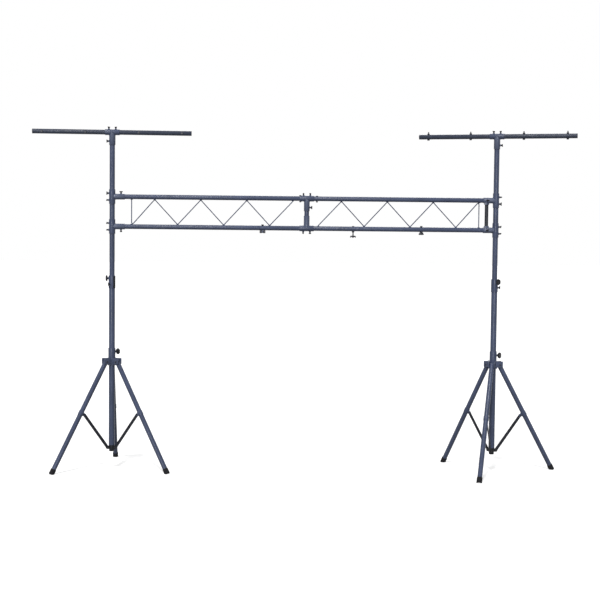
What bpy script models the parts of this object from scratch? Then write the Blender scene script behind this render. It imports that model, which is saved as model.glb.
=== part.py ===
"""Portable lighting truss: two tripod stands with T-bars, joined by a ladder truss in two sections.

Units are metres and +Z is up. X runs from the left mast to the right one, and Y away from the viewer.
The origin is on the floor, under the middle of the object's box.
Tubes are hollow and sleeves are bored, so every piece goes over or into its neighbour with a small gap.
"""

import math

import bmesh
import bpy
from mathutils import Matrix, Vector

# Fits and facets
GAP = 0.0003
SIDE_PLAY = 0.0005
OVERSHOOT = 0.004
TUBE_SIDES = 16
ROD_SIDES = 8
STAR_SIDES = 18
RIVET_SIDES = 6
WEB_SIDES = 8
BEND_STEPS = 3
ROUND_STEPS = 4
SMOOTH_ANGLE = math.radians(35)

# Overall layout, heights above the floor
MAST_SPACING = 3.048
T_BAR_HEIGHT = 2.678
TOP_CHORD_HEIGHT = 2.171
CHORD_SPACING = 0.236
MIDDLE_OFFSET = 0.0193
LOWER_TUBE_TOP = 1.4935
LOWER_TUBE_BOTTOM = 0.189
LEG_PIVOT_HEIGHT = 0.858
MAST_OVERLAP = 0.200

# Tubes, by outer radius and wall
LOWER_TUBE_RADIUS = 0.024
UPPER_TUBE_RADIUS = 0.021
UPPER_TUBE_WALL = 0.002
CHORD_RADIUS = 0.019
CHORD_WALL = 0.002
T_BAR_RADIUS = 0.019
T_BAR_WALL = 0.002
T_BAR_LENGTH = 1.250
LEG_RADIUS = 0.019
LEG_WALL = 0.002

# T-connectors
SLEEVE_WALL = 0.0037
RUN_LENGTH = 0.115
STEM_LENGTH = 0.100
STEM_SEAT = 0.0028
RUN_SCREW_SPREAD = 0.054
STEM_SCREW_PLACE = 0.070

# Thumb screws and their welded nuts
THREAD_RADIUS = 0.004
NUT_RADIUS = 0.0085
NUT_HEIGHT = 0.006
BARREL_RADIUS = 0.0062
SCREW_PROUD = 0.022
PADDLE_WIDTH = 0.026
PADDLE_HEIGHT = 0.012
PADDLE_THICKNESS = 0.009

# Star knobs of the height collar and the leg hub
STAR_RADIUS = 0.024
STAR_LOBES = 6
STAR_LOBE_DEPTH = 0.0022
STAR_EDGE = 0.003
STAR_DISH_RADIUS = 0.012
STAR_NECK_RADIUS = 0.009
STAR_THREAD_RADIUS = 0.005
HEIGHT_KNOB_PROUD = 0.0215
HEIGHT_KNOB_THICKNESS = 0.012
HUB_KNOB_PROUD = 0.034
HUB_KNOB_THICKNESS = 0.017

# Height collar
COLLAR_WALL = 0.003
COLLAR_GRIP = 0.0495
COLLAR_HEAD = 0.0515
COLLAR_KNOB_RISE = 0.0305
COLLAR_SCREW_DROP = 0.0155
COLLAR_SCREW_TURN = math.radians(60)

# Leg hub
HUB_SLEEVE_WALL = 0.004
HUB_SLEEVE_RISE = 0.110
ARM_RISE = 0.030
ARM_DROP = 0.019
LEG_PIVOT_RADIUS = 0.052
ARM_LIP = 0.005
ARM_CHEEK = 0.005
HUB_KNOB_RISE = 0.080
LEG_PIN_RADIUS = 0.004
RIVET_HEAD_RADIUS = 0.0075
RIVET_HEAD_HEIGHT = 0.0022
RIVET_HEAD_TAPER = 0.7

# Legs, feet and braces
FOOT_RADIUS_ON_FLOOR = 0.520
LEG_TOP = 0.012
FOOT_LENGTH = 0.045
FOOT_WALL = 0.003
FOOT_SOLE = 0.009
FOOT_TIP = 0.001
BRACE_WIDTH = 0.024
BRACE_THICKNESS = 0.006
BRACE_ON_LEG = 0.450
BRACE_PIN_RADIUS = 0.003
CLIP_WALL = 0.0025
CLIP_LENGTH = 0.034

# Base plug
PLUG_SPIGOT = 0.034
PLUG_FLANGE = 0.016
PLUG_LENGTH = 0.051
BRACE_FOOT_DROP = 0.0185
BRACE_FOOT_CLEARANCE = 0.0035
EAR_THICKNESS = 0.004

# Truss webs, end brace and lamp bolts
WEB_ROD_RADIUS = 0.004
WEB_BEND_RADIUS = 0.009
WEB_BAYS = 7
WEB_MARGIN = 0.0444
END_BRACE_RADIUS = 0.0145
END_BRACE_INSET = 0.026
SADDLE_WIDTH = 0.036
SADDLE_DEPTH = 0.040
SADDLE_HEIGHT = 0.010
SADDLE_REACH = 0.006
BOLT_RADIUS = 0.005
BOLT_HEAD_RADIUS = 0.0105
BOLT_HEAD_HEIGHT = 0.009
LOW_HEAD_HEIGHT = 0.003
T_BAR_BOLT_PLACES = (-0.55, -0.21, 0.21, 0.55)
T_BAR_BOLT_STUB = 0.012
BLOCK_BOLT_PLACE = -0.350
HANGING_BOLT_PLACE = 0.370
WING_BOLT_PLACE = 0.913
HANGING_BOLT_LENGTH = 0.052
BLOCK_SIZE = (0.046, 0.029, 0.022)
WING_PLATE_SIZE = (0.048, 0.0105, 0.018)
WING_NUT_NECK = 0.0110
WING_NUT_REACH = 0.0215
WING_NUT_HEIGHT = 0.0235
WING_NUT_CORNER = 0.0035
WING_NUT_THICKNESS = 0.012

# How each stand is turned, in degrees about +Z; the hub's knob counts from the first leg
LEFT_STAND = {
    "side": "left",
    "mast": -1,
    "first_leg": 94,
    "hub_knob": -60,
    "height_knob": 180,
    "bar_yaw": 4,
    "bar_roll": 90,
    "swivel_screw": -1,
}
RIGHT_STAND = {
    "side": "right",
    "mast": 1,
    "first_leg": 11,
    "hub_knob": -41,
    "height_knob": -55,
    "bar_yaw": -16,
    "bar_roll": 180,
    "swivel_screw": 1,
}

# How the thumb screws of each connector stand, in degrees: two on the run, one on the stem
T_BAR_SCREW_TURNS = (60, -55, 50)
LEFT_TOP_SCREW_TURNS = (70, 5, 0)
LEFT_BOTTOM_SCREW_TURNS = (80, 65, 20)
RIGHT_TOP_SCREW_TURNS = (10, 85, 0)
RIGHT_BOTTOM_SCREW_TURNS = (75, 60, 30)
MID_TOP_SCREW_TURNS = (75, 70, 15)
MID_BOTTOM_SCREW_TURNS = (60, 80, 0)

# Finishes: linear colour, roughness and metallic
SLATE_PAINT = ((0.055, 0.072, 0.115), 0.42, 0.25)
BLACK_PLASTIC = ((0.012, 0.013, 0.016), 0.5, 0.0)
BLACK_RUBBER = ((0.010, 0.010, 0.012), 0.75, 0.0)
BLACK_STEEL = ((0.018, 0.020, 0.026), 0.45, 0.4)

X_AXIS = Vector((1, 0, 0))
Y_AXIS = Vector((0, 1, 0))
Z_AXIS = Vector((0, 0, 1))


def bored(radius, sides=TUBE_SIDES):
    """Corner radius of a faceted bore whose flats clear a shaft of this radius by the gap."""
    return (radius + GAP) / math.cos(math.pi / sides)


def ring(radius, height, sides, lobes=0, depth=0.0):
    """Points round the Z axis, with a flat towards +X; lobes and depth press hollows into it."""
    points = []
    for step in range(sides):
        angle = math.tau * (step + 0.5) / sides
        reach = radius - depth * (1 - math.cos(lobes * angle)) / 2
        points.append(Vector((reach * math.cos(angle), reach * math.sin(angle), height)))
    return points


def loft(rings, closed=False):
    """Mesh through rings of equal count, with end faces unless the rings close on themselves."""
    shape = bmesh.new()
    rows = [[shape.verts.new(point) for point in points] for points in rings]
    pairs = list(zip(rows, rows[1:]))
    if closed:
        pairs.append((rows[-1], rows[0]))
    else:
        shape.faces.new(rows[0])
        shape.faces.new(rows[-1])
    for lower, upper in pairs:
        for step in range(len(lower)):
            after = (step + 1) % len(lower)
            shape.faces.new((lower[step], lower[after], upper[after], upper[step]))
    return finished(shape)


def finished(shape):
    """Mesh of this bmesh, with every face turned outwards."""
    bmesh.ops.recalc_face_normals(shape, faces=shape.faces)
    mesh = bpy.data.meshes.new("shape")
    shape.to_mesh(mesh)
    shape.free()
    return mesh


def turned(profile, sides=TUBE_SIDES, closed=False):
    """Solid of revolution about Z from (radius, height) pairs."""
    return loft([ring(radius, height, sides) for radius, height in profile], closed)


def pipe(outer, inner, low, high, sides=TUBE_SIDES):
    """Open tube along Z; inner is the corner radius of the bore."""
    return turned([(outer, low), (outer, high), (inner, high), (inner, low)], sides, closed=True)


def block(width, depth, height, centre):
    """Box with sides along X, Y and Z."""
    shape = bmesh.new()
    size = Matrix.Diagonal((width, depth, height, 1))
    bmesh.ops.create_cube(shape, size=1, matrix=Matrix.Translation(centre) @ size)
    return finished(shape)


def plate(outline, thickness, middle=0.0):
    """Outline of (x, z) pairs, extruded along Y about the middle."""
    near = [Vector((x, middle - thickness / 2, z)) for x, z in outline]
    far = [Vector((x, middle + thickness / 2, z)) for x, z in outline]
    return loft([near, far])


def arc(centre, radius, start, end, steps=ROUND_STEPS):
    """(x, z) pairs along an arc, with angles in radians from +X towards +Z."""
    angles = [start + (end - start) * step / steps for step in range(steps + 1)]
    return [(centre[0] + radius * math.cos(a), centre[1] + radius * math.sin(a)) for a in angles]


def aimed(origin, direction, spin=0.0):
    """Placement that puts local Z along the direction, after a spin about it."""
    turn = Z_AXIS.rotation_difference(Vector(direction)).to_matrix().to_4x4()
    return Matrix.Translation(origin) @ turn @ Matrix.Rotation(spin, 4, "Z")


def moved(mesh, place):
    mesh.transform(place)
    return mesh


def spun(angle, axis="Z"):
    return Matrix.Rotation(angle, 4, axis)


def combined(adds, cuts=(), pins=()):
    """Union of adds, with cuts taken away, and pins joined on afterwards."""
    steps = [("UNION", mesh) for mesh in adds[1:]]
    steps += [("DIFFERENCE", mesh) for mesh in cuts]
    steps += [("UNION", mesh) for mesh in pins]
    base = helper_object(adds[0])
    helpers = [base]
    for operation, mesh in steps:
        helpers.append(helper_object(mesh))
        boolean = base.modifiers.new("boolean", "BOOLEAN")
        boolean.operation = operation
        boolean.solver = "EXACT"
        boolean.object = helpers[-1]
    graph = bpy.context.evaluated_depsgraph_get()
    result = bpy.data.meshes.new_from_object(base.evaluated_get(graph))
    for helper in helpers:
        bpy.data.meshes.remove(helper.data)
    return result


def helper_object(mesh):
    helper = bpy.data.objects.new("helper", mesh)
    bpy.context.scene.collection.objects.link(helper)
    return helper


def piece(name, mesh, parent, place, finish):
    """One named sub-part with its own material."""
    colour, roughness, metallic = finish
    material = bpy.data.materials.new(name)
    material.use_nodes = True
    shader = material.node_tree.nodes["Principled BSDF"]
    shader.inputs["Base Color"].default_value = (*colour, 1)
    shader.inputs["Roughness"].default_value = roughness
    shader.inputs["Metallic"].default_value = metallic
    mesh.name = name
    mesh.shade_smooth()
    mesh.set_sharp_from_angle(angle=SMOOTH_ANGLE)
    mesh.materials.clear()
    mesh.materials.append(material)
    part = bpy.data.objects.new(name, mesh)
    bpy.context.scene.collection.objects.link(part)
    part.parent = parent
    part.matrix_basis = place
    return part


def empty(name, parent, place):
    marker = bpy.data.objects.new(name, None)
    bpy.context.scene.collection.objects.link(marker)
    marker.parent = parent
    marker.matrix_basis = place
    return marker


def nut(tube_radius, wall, place, thread_radius=THREAD_RADIUS):
    """Hexagonal nut welded on a sleeve; place puts the origin on the tube's axis and Z outwards."""
    seat = tube_radius + GAP + wall
    reach = NUT_RADIUS + thread_radius - THREAD_RADIUS
    return moved(turned([(reach, seat - wall / 2), (reach, seat + NUT_HEIGHT)], 6), place)


def thread_hole(tube_radius, wall, place, thread_radius=THREAD_RADIUS):
    """Cutter for the screw's hole through the nut and the sleeve wall."""
    reach = bored(thread_radius, ROD_SIDES)
    top = tube_radius + wall + NUT_HEIGHT + OVERSHOOT
    return moved(turned([(reach, tube_radius - OVERSHOOT), (reach, top)], ROD_SIDES), place)


def thumb_screw(tube_radius, wall, tip):
    """Screw with a flat paddle head; Z is its axis, counted from the tube's axis."""
    sleeve = tube_radius + GAP + wall
    shoulder = sleeve + NUT_HEIGHT + SIDE_PLAY
    top = sleeve + SCREW_PROUD
    base = top - PADDLE_HEIGHT
    half = PADDLE_WIDTH / 2
    waist = BARREL_RADIUS
    corner = half / 4
    outline = [(-waist, base), (waist, base), (half, base + PADDLE_HEIGHT / 3)]
    outline += arc((half - corner, top - corner), corner, 0, math.pi / 2, 2)
    outline += arc((corner - half, top - corner), corner, math.pi / 2, math.pi, 2)
    outline.append((-half, base + PADDLE_HEIGHT / 3))
    return [
        turned([(THREAD_RADIUS, tip), (THREAD_RADIUS, shoulder + OVERSHOOT / 2)], ROD_SIDES),
        turned([(BARREL_RADIUS, shoulder), (BARREL_RADIUS, base + OVERSHOOT)], ROD_SIDES),
        plate(outline, PADDLE_THICKNESS),
    ]


def star_knob(tube_radius, wall, proud, thickness):
    """Lobed knob on a screw; Z is its axis, counted from the tube's axis, and its face stands proud."""
    sleeve = tube_radius + GAP + wall
    shoulder = sleeve + NUT_HEIGHT + SIDE_PLAY
    face = sleeve + proud
    back = face - thickness
    hollows = (STAR_SIDES, STAR_LOBES, STAR_LOBE_DEPTH)
    body = [
        ring(STAR_NECK_RADIUS, shoulder, STAR_SIDES),
        ring(STAR_NECK_RADIUS, (shoulder + back) / 2, STAR_SIDES),
        ring(STAR_RADIUS - STAR_EDGE, back, *hollows),
        ring(STAR_RADIUS, back + STAR_EDGE, *hollows),
        ring(STAR_RADIUS, face - STAR_EDGE, *hollows),
        ring(STAR_RADIUS - STAR_EDGE, face, *hollows),
        ring(STAR_DISH_RADIUS, face, STAR_SIDES),
        ring(STAR_DISH_RADIUS - STAR_EDGE / 2, face - STAR_EDGE / 2, STAR_SIDES),
    ]
    tip = tube_radius + GAP
    stem = [(STAR_THREAD_RADIUS, tip), (STAR_THREAD_RADIUS, shoulder + OVERSHOOT)]
    return combined([loft(body), turned(stem, ROD_SIDES)])


def tee_screw_places(stem_screw_direction, screw_turns):
    """Placements of the two run screws and the stem screw, in the connector's frame."""
    half = RUN_SCREW_SPREAD / 2
    low, high, stem = (math.radians(turn) for turn in screw_turns)
    return [
        aimed((0, 0, -half), -X_AXIS, low),
        aimed((0, 0, half), -X_AXIS, high),
        aimed((STEM_SCREW_PLACE, 0, 0), stem_screw_direction, stem),
    ]


def tee(run_tube, stem_tube, places, screws_fixed):
    """T-connector: run sleeve along Z, stem sleeve along +X, with nuts and, if fixed, the screws."""
    run_outer = run_tube + GAP + SLEEVE_WALL
    stem_outer = stem_tube + GAP + SLEEVE_WALL
    half = RUN_LENGTH / 2
    seat = run_outer + STEM_SEAT
    tubes = (run_tube, run_tube, stem_tube)
    adds = [
        turned([(run_outer, -half), (run_outer, half)]),
        moved(turned([(stem_outer, 0), (stem_outer, STEM_LENGTH)]), aimed((0, 0, 0), X_AXIS)),
    ]
    adds += [nut(tube, SLEEVE_WALL, place) for tube, place in zip(tubes, places)]
    run_bore = bored(run_tube)
    stem_bore = bored(stem_tube)
    cuts = [
        turned([(run_bore, -half - OVERSHOOT), (run_bore, half + OVERSHOOT)]),
        moved(
            turned([(stem_bore, seat), (stem_bore, STEM_LENGTH + OVERSHOOT)]),
            aimed((0, 0, 0), X_AXIS),
        ),
    ]
    if not screws_fixed:
        cuts += [thread_hole(tube, SLEEVE_WALL, place) for tube, place in zip(tubes, places)]
        return combined(adds, cuts)
    pins = []
    for tube, place in zip(tubes, places):
        tip = tube + GAP + SLEEVE_WALL / 2
        pins += [moved(mesh, place) for mesh in thumb_screw(tube, SLEEVE_WALL, tip)]
    return combined(adds, cuts, pins)


def sleeve_seat(run_tube):
    """Distance from a connector's run axis to the bottom of its stem bore."""
    return run_tube + GAP + SLEEVE_WALL + STEM_SEAT


def hex_head(low, high, radius=BOLT_HEAD_RADIUS):
    return turned([(radius, low), (radius, high)], 6)


def rivet_heads(half_width, place):
    """Two low heads on the outer faces of a fork, with Z along the rivet."""
    low = half_width - SIDE_PLAY
    high = half_width + RIVET_HEAD_HEIGHT
    heads = []
    for turn in (0, math.pi):
        profile = [(RIVET_HEAD_RADIUS, low), (RIVET_HEAD_RADIUS * RIVET_HEAD_TAPER, high)]
        heads.append(moved(turned(profile, RIVET_SIDES), place @ spun(turn, "X")))
    return heads


def leg_angle():
    """Lean of a spread leg from the vertical."""
    return math.atan2(FOOT_RADIUS_ON_FLOOR - LEG_PIVOT_RADIUS, LEG_PIVOT_HEIGHT)


def leg_length():
    """From the hub rivet to the floor, along the leg."""
    return math.hypot(FOOT_RADIUS_ON_FLOOR - LEG_PIVOT_RADIUS, LEG_PIVOT_HEIGHT)


def clip_reach():
    """Distance from the leg's axis to the brace rivet in its clip."""
    return LEG_RADIUS + CLIP_WALL + BRACE_WIDTH / 2 + SIDE_PLAY


def brace_top():
    """(radius, height) of the brace rivet on a spread leg."""
    lean = leg_angle()
    radius = LEG_PIVOT_RADIUS + BRACE_ON_LEG * math.sin(lean) - clip_reach() * math.cos(lean)
    height = LEG_PIVOT_HEIGHT - BRACE_ON_LEG * math.cos(lean) - clip_reach() * math.sin(lean)
    return radius, height


def brace_foot():
    """(radius, height) of the brace's lower end at the base plug."""
    return LOWER_TUBE_RADIUS + BRACE_WIDTH / 2, LOWER_TUBE_BOTTOM - BRACE_FOOT_DROP


def leg_hub_mesh(knob_side):
    """Sliding sleeve with three forks; Z = 0 is the height of the leg rivets, arm 1 is along +X."""
    outer = LOWER_TUBE_RADIUS + GAP + HUB_SLEEVE_WALL
    half_slot = LEG_RADIUS + SIDE_PLAY
    half_arm = half_slot + ARM_CHEEK
    arm_end = LEG_PIVOT_RADIUS + LEG_RADIUS + ARM_LIP
    swing = math.hypot(LEG_RADIUS, LEG_TOP) + 2 * SIDE_PLAY
    slot_start = LEG_PIVOT_RADIUS - swing
    arm_height = ARM_RISE + ARM_DROP
    middle = (ARM_RISE - ARM_DROP) / 2
    adds = [turned([(outer, -ARM_DROP - SIDE_PLAY), (outer, HUB_SLEEVE_RISE)])]
    cuts = []
    pins = []
    for arm in range(3):
        turn = spun(math.tau * arm / 3)
        adds.append(moved(block(arm_end, 2 * half_arm, arm_height, (arm_end / 2, 0, middle)), turn))
        slot = block(
            arm_end - slot_start + OVERSHOOT,
            2 * half_slot,
            arm_height + 2 * OVERSHOOT,
            ((arm_end + slot_start + OVERSHOOT) / 2, 0, middle),
        )
        cuts.append(moved(slot, turn))
        across = turn @ aimed((LEG_PIVOT_RADIUS, 0, 0), Y_AXIS)
        half_pin = half_slot + ARM_CHEEK / 2
        pin = turned([(LEG_PIN_RADIUS, -half_pin), (LEG_PIN_RADIUS, half_pin)], ROD_SIDES)
        pins.append(moved(pin, across))
        pins += rivet_heads(half_arm, across)
    adds.append(nut(LOWER_TUBE_RADIUS, HUB_SLEEVE_WALL, knob_side, STAR_THREAD_RADIUS))
    bore = bored(LOWER_TUBE_RADIUS)
    cuts.insert(0, turned([(bore, -ARM_DROP - OVERSHOOT), (bore, HUB_SLEEVE_RISE + OVERSHOOT)]))
    cuts.append(thread_hole(LOWER_TUBE_RADIUS, HUB_SLEEVE_WALL, knob_side, STAR_THREAD_RADIUS))
    return combined(adds, cuts, pins)


def leg_mesh():
    """Leg tube with its brace clip; the origin is the hub rivet and the tube runs down -Z."""
    bottom = -(leg_length() - sole_climb() - FOOT_SOLE)
    tube = pipe(LEG_RADIUS, LEG_RADIUS - LEG_WALL, bottom, LEG_TOP)
    band_outer = LEG_RADIUS + CLIP_WALL
    clip_low = -BRACE_ON_LEG - CLIP_LENGTH / 2
    clip_high = -BRACE_ON_LEG + CLIP_LENGTH / 2
    wall_middle = LEG_RADIUS - LEG_WALL / 2
    band = pipe(band_outer, wall_middle, clip_low, clip_high)
    half_slot = BRACE_THICKNESS / 2 + SIDE_PLAY
    ear_end = -clip_reach()
    ear_radius = BRACE_WIDTH / 2
    adds = [tube, band]
    pins = []
    for side in (-1, 1):
        outline = arc((ear_end, -BRACE_ON_LEG), ear_radius, math.pi / 2, 3 * math.pi / 2)
        outline += [(-LEG_RADIUS, -BRACE_ON_LEG - ear_radius), (-LEG_RADIUS, -BRACE_ON_LEG + ear_radius)]
        ear = plate(outline, CLIP_WALL, side * (half_slot + CLIP_WALL / 2))
        adds.append(ear)
    across = aimed((ear_end, 0, -BRACE_ON_LEG), Y_AXIS)
    half_pin = half_slot + CLIP_WALL / 2
    pin = turned([(BRACE_PIN_RADIUS, -half_pin), (BRACE_PIN_RADIUS, half_pin)], ROD_SIDES)
    pins.append(moved(pin, across))
    pins += rivet_heads(half_slot + CLIP_WALL, across)
    hole_radius = bored(LEG_PIN_RADIUS, ROD_SIDES)
    reach = LEG_RADIUS + OVERSHOOT
    hole = moved(turned([(hole_radius, -reach), (hole_radius, reach)], ROD_SIDES), aimed((0, 0, 0), Y_AXIS))
    return combined(adds, [hole], pins)


def sole_climb():
    """How far the slanted sole climbs along the foot's inner side."""
    return (LEG_RADIUS + GAP + FOOT_WALL) * math.tan(leg_angle())


def foot_mesh():
    """Rubber cap on a leg's end, cut level on its inner side and square at its tip.

    The origin is where the leg's axis meets the floor.
    """
    outer = LEG_RADIUS + GAP + FOOT_WALL
    inner = bored(LEG_RADIUS)
    slope = math.tan(leg_angle())
    sole = [Vector((p.x, p.y, -p.x * slope)) for p in ring(outer, 0, TUBE_SIDES)]
    floor = sole_climb() + FOOT_SOLE - GAP
    chamfer = FOOT_WALL / 2
    cap = loft(
        [
            sole,
            ring(outer, sole_climb() + chamfer, TUBE_SIDES),
            ring(outer, FOOT_LENGTH - chamfer, TUBE_SIDES),
            ring(outer - chamfer, FOOT_LENGTH, TUBE_SIDES),
            ring(inner, FOOT_LENGTH, TUBE_SIDES),
            ring(inner, floor, TUBE_SIDES),
        ]
    )
    width, depth = 4 * outer, 2 * sole_climb()
    return combined([cap], [block(width, width, depth, (0, 0, -FOOT_TIP - depth / 2))])


def brace_mesh():
    """Flat bar with round ends; the origin is its upper rivet and it runs down -Z."""
    top, foot = Vector(brace_top()), Vector(brace_foot())
    length = (top - foot).length
    half = BRACE_WIDTH / 2
    outline = arc((0, 0), half, 0, math.pi, 2 * ROUND_STEPS)
    outline += arc((0, -length), half, math.pi, math.tau, 2 * ROUND_STEPS)
    bar = plate(outline, BRACE_THICKNESS)
    hole_radius = bored(BRACE_PIN_RADIUS, ROD_SIDES)
    reach = BRACE_THICKNESS / 2 + OVERSHOOT
    hole = turned([(hole_radius, -reach), (hole_radius, reach)], ROD_SIDES)
    return combined([bar], [moved(hole, aimed((0, 0, 0), Y_AXIS))])


def base_plug_mesh():
    """Stopper of the lower tube; Z = 0 is the tube's end and ear pair 1 is along +X."""
    spigot = UPPER_TUBE_RADIUS
    core = brace_foot()[0] - BRACE_WIDTH / 2 - BRACE_FOOT_CLEARANCE
    chamfer = SLEEVE_WALL / 2
    profile = [
        (core - 2 * chamfer, -PLUG_LENGTH),
        (core, -PLUG_LENGTH + chamfer),
        (core, -PLUG_FLANGE - GAP),
        (LOWER_TUBE_RADIUS - chamfer / 2, -PLUG_FLANGE),
        (LOWER_TUBE_RADIUS - chamfer / 2, -GAP),
        (spigot, -GAP),
        (spigot, PLUG_SPIGOT),
    ]
    adds = [turned(profile)]
    ear_x = brace_foot()[0]
    ear_z = -BRACE_FOOT_DROP
    half_slot = BRACE_THICKNESS / 2 + SIDE_PLAY
    ear_radius = BRACE_WIDTH / 2 + 2 * SIDE_PLAY
    for pair in range(3):
        turn = spun(math.tau * pair / 3)
        for side in (-1, 1):
            outline = arc((ear_x, ear_z), ear_radius, -math.pi / 2, math.pi / 2)
            outline += [(core / 2, ear_z + ear_radius), (core / 2, ear_z - ear_radius)]
            ear = plate(outline, EAR_THICKNESS, side * (half_slot + EAR_THICKNESS / 2))
            adds.append(moved(ear, turn))
        across = turn @ aimed((ear_x, 0, ear_z), Y_AXIS)
        adds += rivet_heads(half_slot + EAR_THICKNESS, across)
    return combined(adds)


def height_collar_mesh():
    """Stepped sleeve; Z = 0 is the lower tube's upper end, which stops at the step."""
    outer = LOWER_TUBE_RADIUS + GAP + COLLAR_WALL
    wide, narrow = bored(LOWER_TUBE_RADIUS), bored(UPPER_TUBE_RADIUS)
    edge = COLLAR_WALL / 3
    profile = [
        (wide, -COLLAR_GRIP),
        (outer - edge, -COLLAR_GRIP),
        (outer, -COLLAR_GRIP + edge),
        (outer, COLLAR_HEAD - edge),
        (outer - edge, COLLAR_HEAD),
        (narrow, COLLAR_HEAD),
        (narrow, GAP),
        (wide, GAP),
    ]
    knob_side = aimed((0, 0, COLLAR_KNOB_RISE), X_AXIS)
    screw_side = spun(COLLAR_SCREW_TURN) @ aimed((0, 0, -COLLAR_SCREW_DROP), X_AXIS)
    knob_wall = collar_knob_wall()
    adds = [
        turned(profile, closed=True),
        nut(UPPER_TUBE_RADIUS, knob_wall, knob_side, STAR_THREAD_RADIUS),
        nut(LOWER_TUBE_RADIUS, COLLAR_WALL, screw_side),
    ]
    cuts = [thread_hole(UPPER_TUBE_RADIUS, knob_wall, knob_side, STAR_THREAD_RADIUS)]
    tip = LOWER_TUBE_RADIUS + GAP + COLLAR_WALL / 2
    pins = [moved(mesh, screw_side) for mesh in thumb_screw(LOWER_TUBE_RADIUS, COLLAR_WALL, tip)]
    return combined(adds, cuts, pins)


def collar_knob_wall():
    """The collar's wall over the upper tube."""
    return LOWER_TUBE_RADIUS + COLLAR_WALL - UPPER_TUBE_RADIUS


def t_bar_mesh():
    """T-bar along Z with its lamp bolts across it along X, heads towards -X."""
    half = T_BAR_LENGTH / 2
    tube = pipe(T_BAR_RADIUS, T_BAR_RADIUS - T_BAR_WALL, -half, half)
    shank_end = T_BAR_RADIUS + BOLT_HEAD_HEIGHT + T_BAR_BOLT_STUB
    pins = []
    for reach in T_BAR_BOLT_PLACES:
        place = aimed((0, 0, reach), -X_AXIS)
        seat = T_BAR_RADIUS - T_BAR_WALL / 2
        head = hex_head(seat, T_BAR_RADIUS + BOLT_HEAD_HEIGHT)
        nut_body = hex_head(-T_BAR_RADIUS - BOLT_HEAD_HEIGHT, -seat)
        shank = turned([(BOLT_RADIUS, -shank_end), (BOLT_RADIUS, T_BAR_RADIUS)], ROD_SIDES)
        pins += [moved(mesh, place) for mesh in (shank, head, nut_body)]
    return combined([tube], pins=pins)


def chord_end(side):
    """Distance of a chord's outer end from the chord joint; side is -1 at the left and 1 at the right."""
    return MAST_SPACING / 2 - side * MIDDLE_OFFSET - sleeve_seat(UPPER_TUBE_RADIUS) - GAP


def chord_mesh(side, bolt_places):
    """Chord tube along +X from the chord joint, with holes for the lamp bolts."""
    tube = pipe(CHORD_RADIUS, CHORD_RADIUS - CHORD_WALL, SIDE_PLAY, chord_end(side))
    tube = moved(tube, spun(math.pi / 2, "Y"))
    hole_radius = bored(BOLT_RADIUS, ROD_SIDES)
    reach = CHORD_RADIUS + OVERSHOOT
    cuts = []
    for place in bolt_places:
        hole = turned([(hole_radius, -reach), (hole_radius, reach)], ROD_SIDES)
        cuts.append(moved(hole, Matrix.Translation((place, 0, 0))))
    return combined([tube], cuts)


def rounded(points, bend, steps):
    """The (x, z) polyline with each corner turned into an arc of the bend radius."""
    path = [Vector(points[0])]
    for before, corner, after in zip(points, points[1:], points[2:]):
        back = (Vector(before) - Vector(corner)).normalized()
        ahead = (Vector(after) - Vector(corner)).normalized()
        half = back.angle(ahead) / 2
        centre = Vector(corner) + (back + ahead).normalized() * bend / math.sin(half)
        start = Vector(corner) + back * bend / math.tan(half) - centre
        end = Vector(corner) + ahead * bend / math.tan(half) - centre
        sweep = start.angle_signed(end)
        for step in range(steps + 1):
            turn = Matrix.Rotation(-sweep * step / steps, 2)
            path.append(centre + turn @ start)
    path.append(Vector(points[-1]))
    return path


def swept_rod(path, radius, sides):
    """Round rod along an (x, z) path, mitred at each point."""
    rings = []
    for number, point in enumerate(path):
        before = path[max(number - 1, 0)]
        after = path[min(number + 1, len(path) - 1)]
        arriving = (point - before).normalized() if number else (after - point).normalized()
        leaving = (after - point).normalized() if after != point else arriving
        along = (arriving + leaving).normalized()
        across = Vector((-along.y, along.x)) / along.dot(leaving)
        points = []
        for step in range(sides):
            angle = math.tau * (step + 0.5) / sides
            flat = point + across * radius * math.cos(angle)
            points.append(Vector((flat.x, radius * math.sin(angle), flat.y)))
        rings.append(points)
    return loft(rings)


def web_places():
    """Distance of each web node from the middle of the truss."""
    first = RUN_LENGTH / 2 + WEB_MARGIN
    last = MAST_SPACING / 2 - STEM_LENGTH - WEB_MARGIN
    return [first + (last - first) * bay / WEB_BAYS for bay in range(WEB_BAYS + 1)]


def web_mesh():
    """Zigzag rod between the chords and the upright at its outer end; Z = 0 is mid height."""
    places = web_places()
    crest = CHORD_SPACING / 2 - CHORD_RADIUS - GAP - WEB_ROD_RADIUS
    slant = math.atan2(places[1] - places[0], 2 * crest)
    corner = crest + WEB_BEND_RADIUS * (1 / math.sin(slant) - 1)
    last_corner = crest + WEB_BEND_RADIUS * (1 / math.tan(slant / 2) - 1)
    points = []
    for number, place in enumerate(places):
        side = -1 if number % 2 == 0 else 1
        points.append((place, side * corner))
    side = points[-1][1] / corner
    points[0] = (places[0], -crest)
    points[-1] = (places[-1], side * last_corner)
    points.append((places[-1], -side * (crest + WEB_ROD_RADIUS)))
    return swept_rod(rounded(points, WEB_BEND_RADIUS, BEND_STEPS), WEB_ROD_RADIUS, WEB_SIDES)


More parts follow.
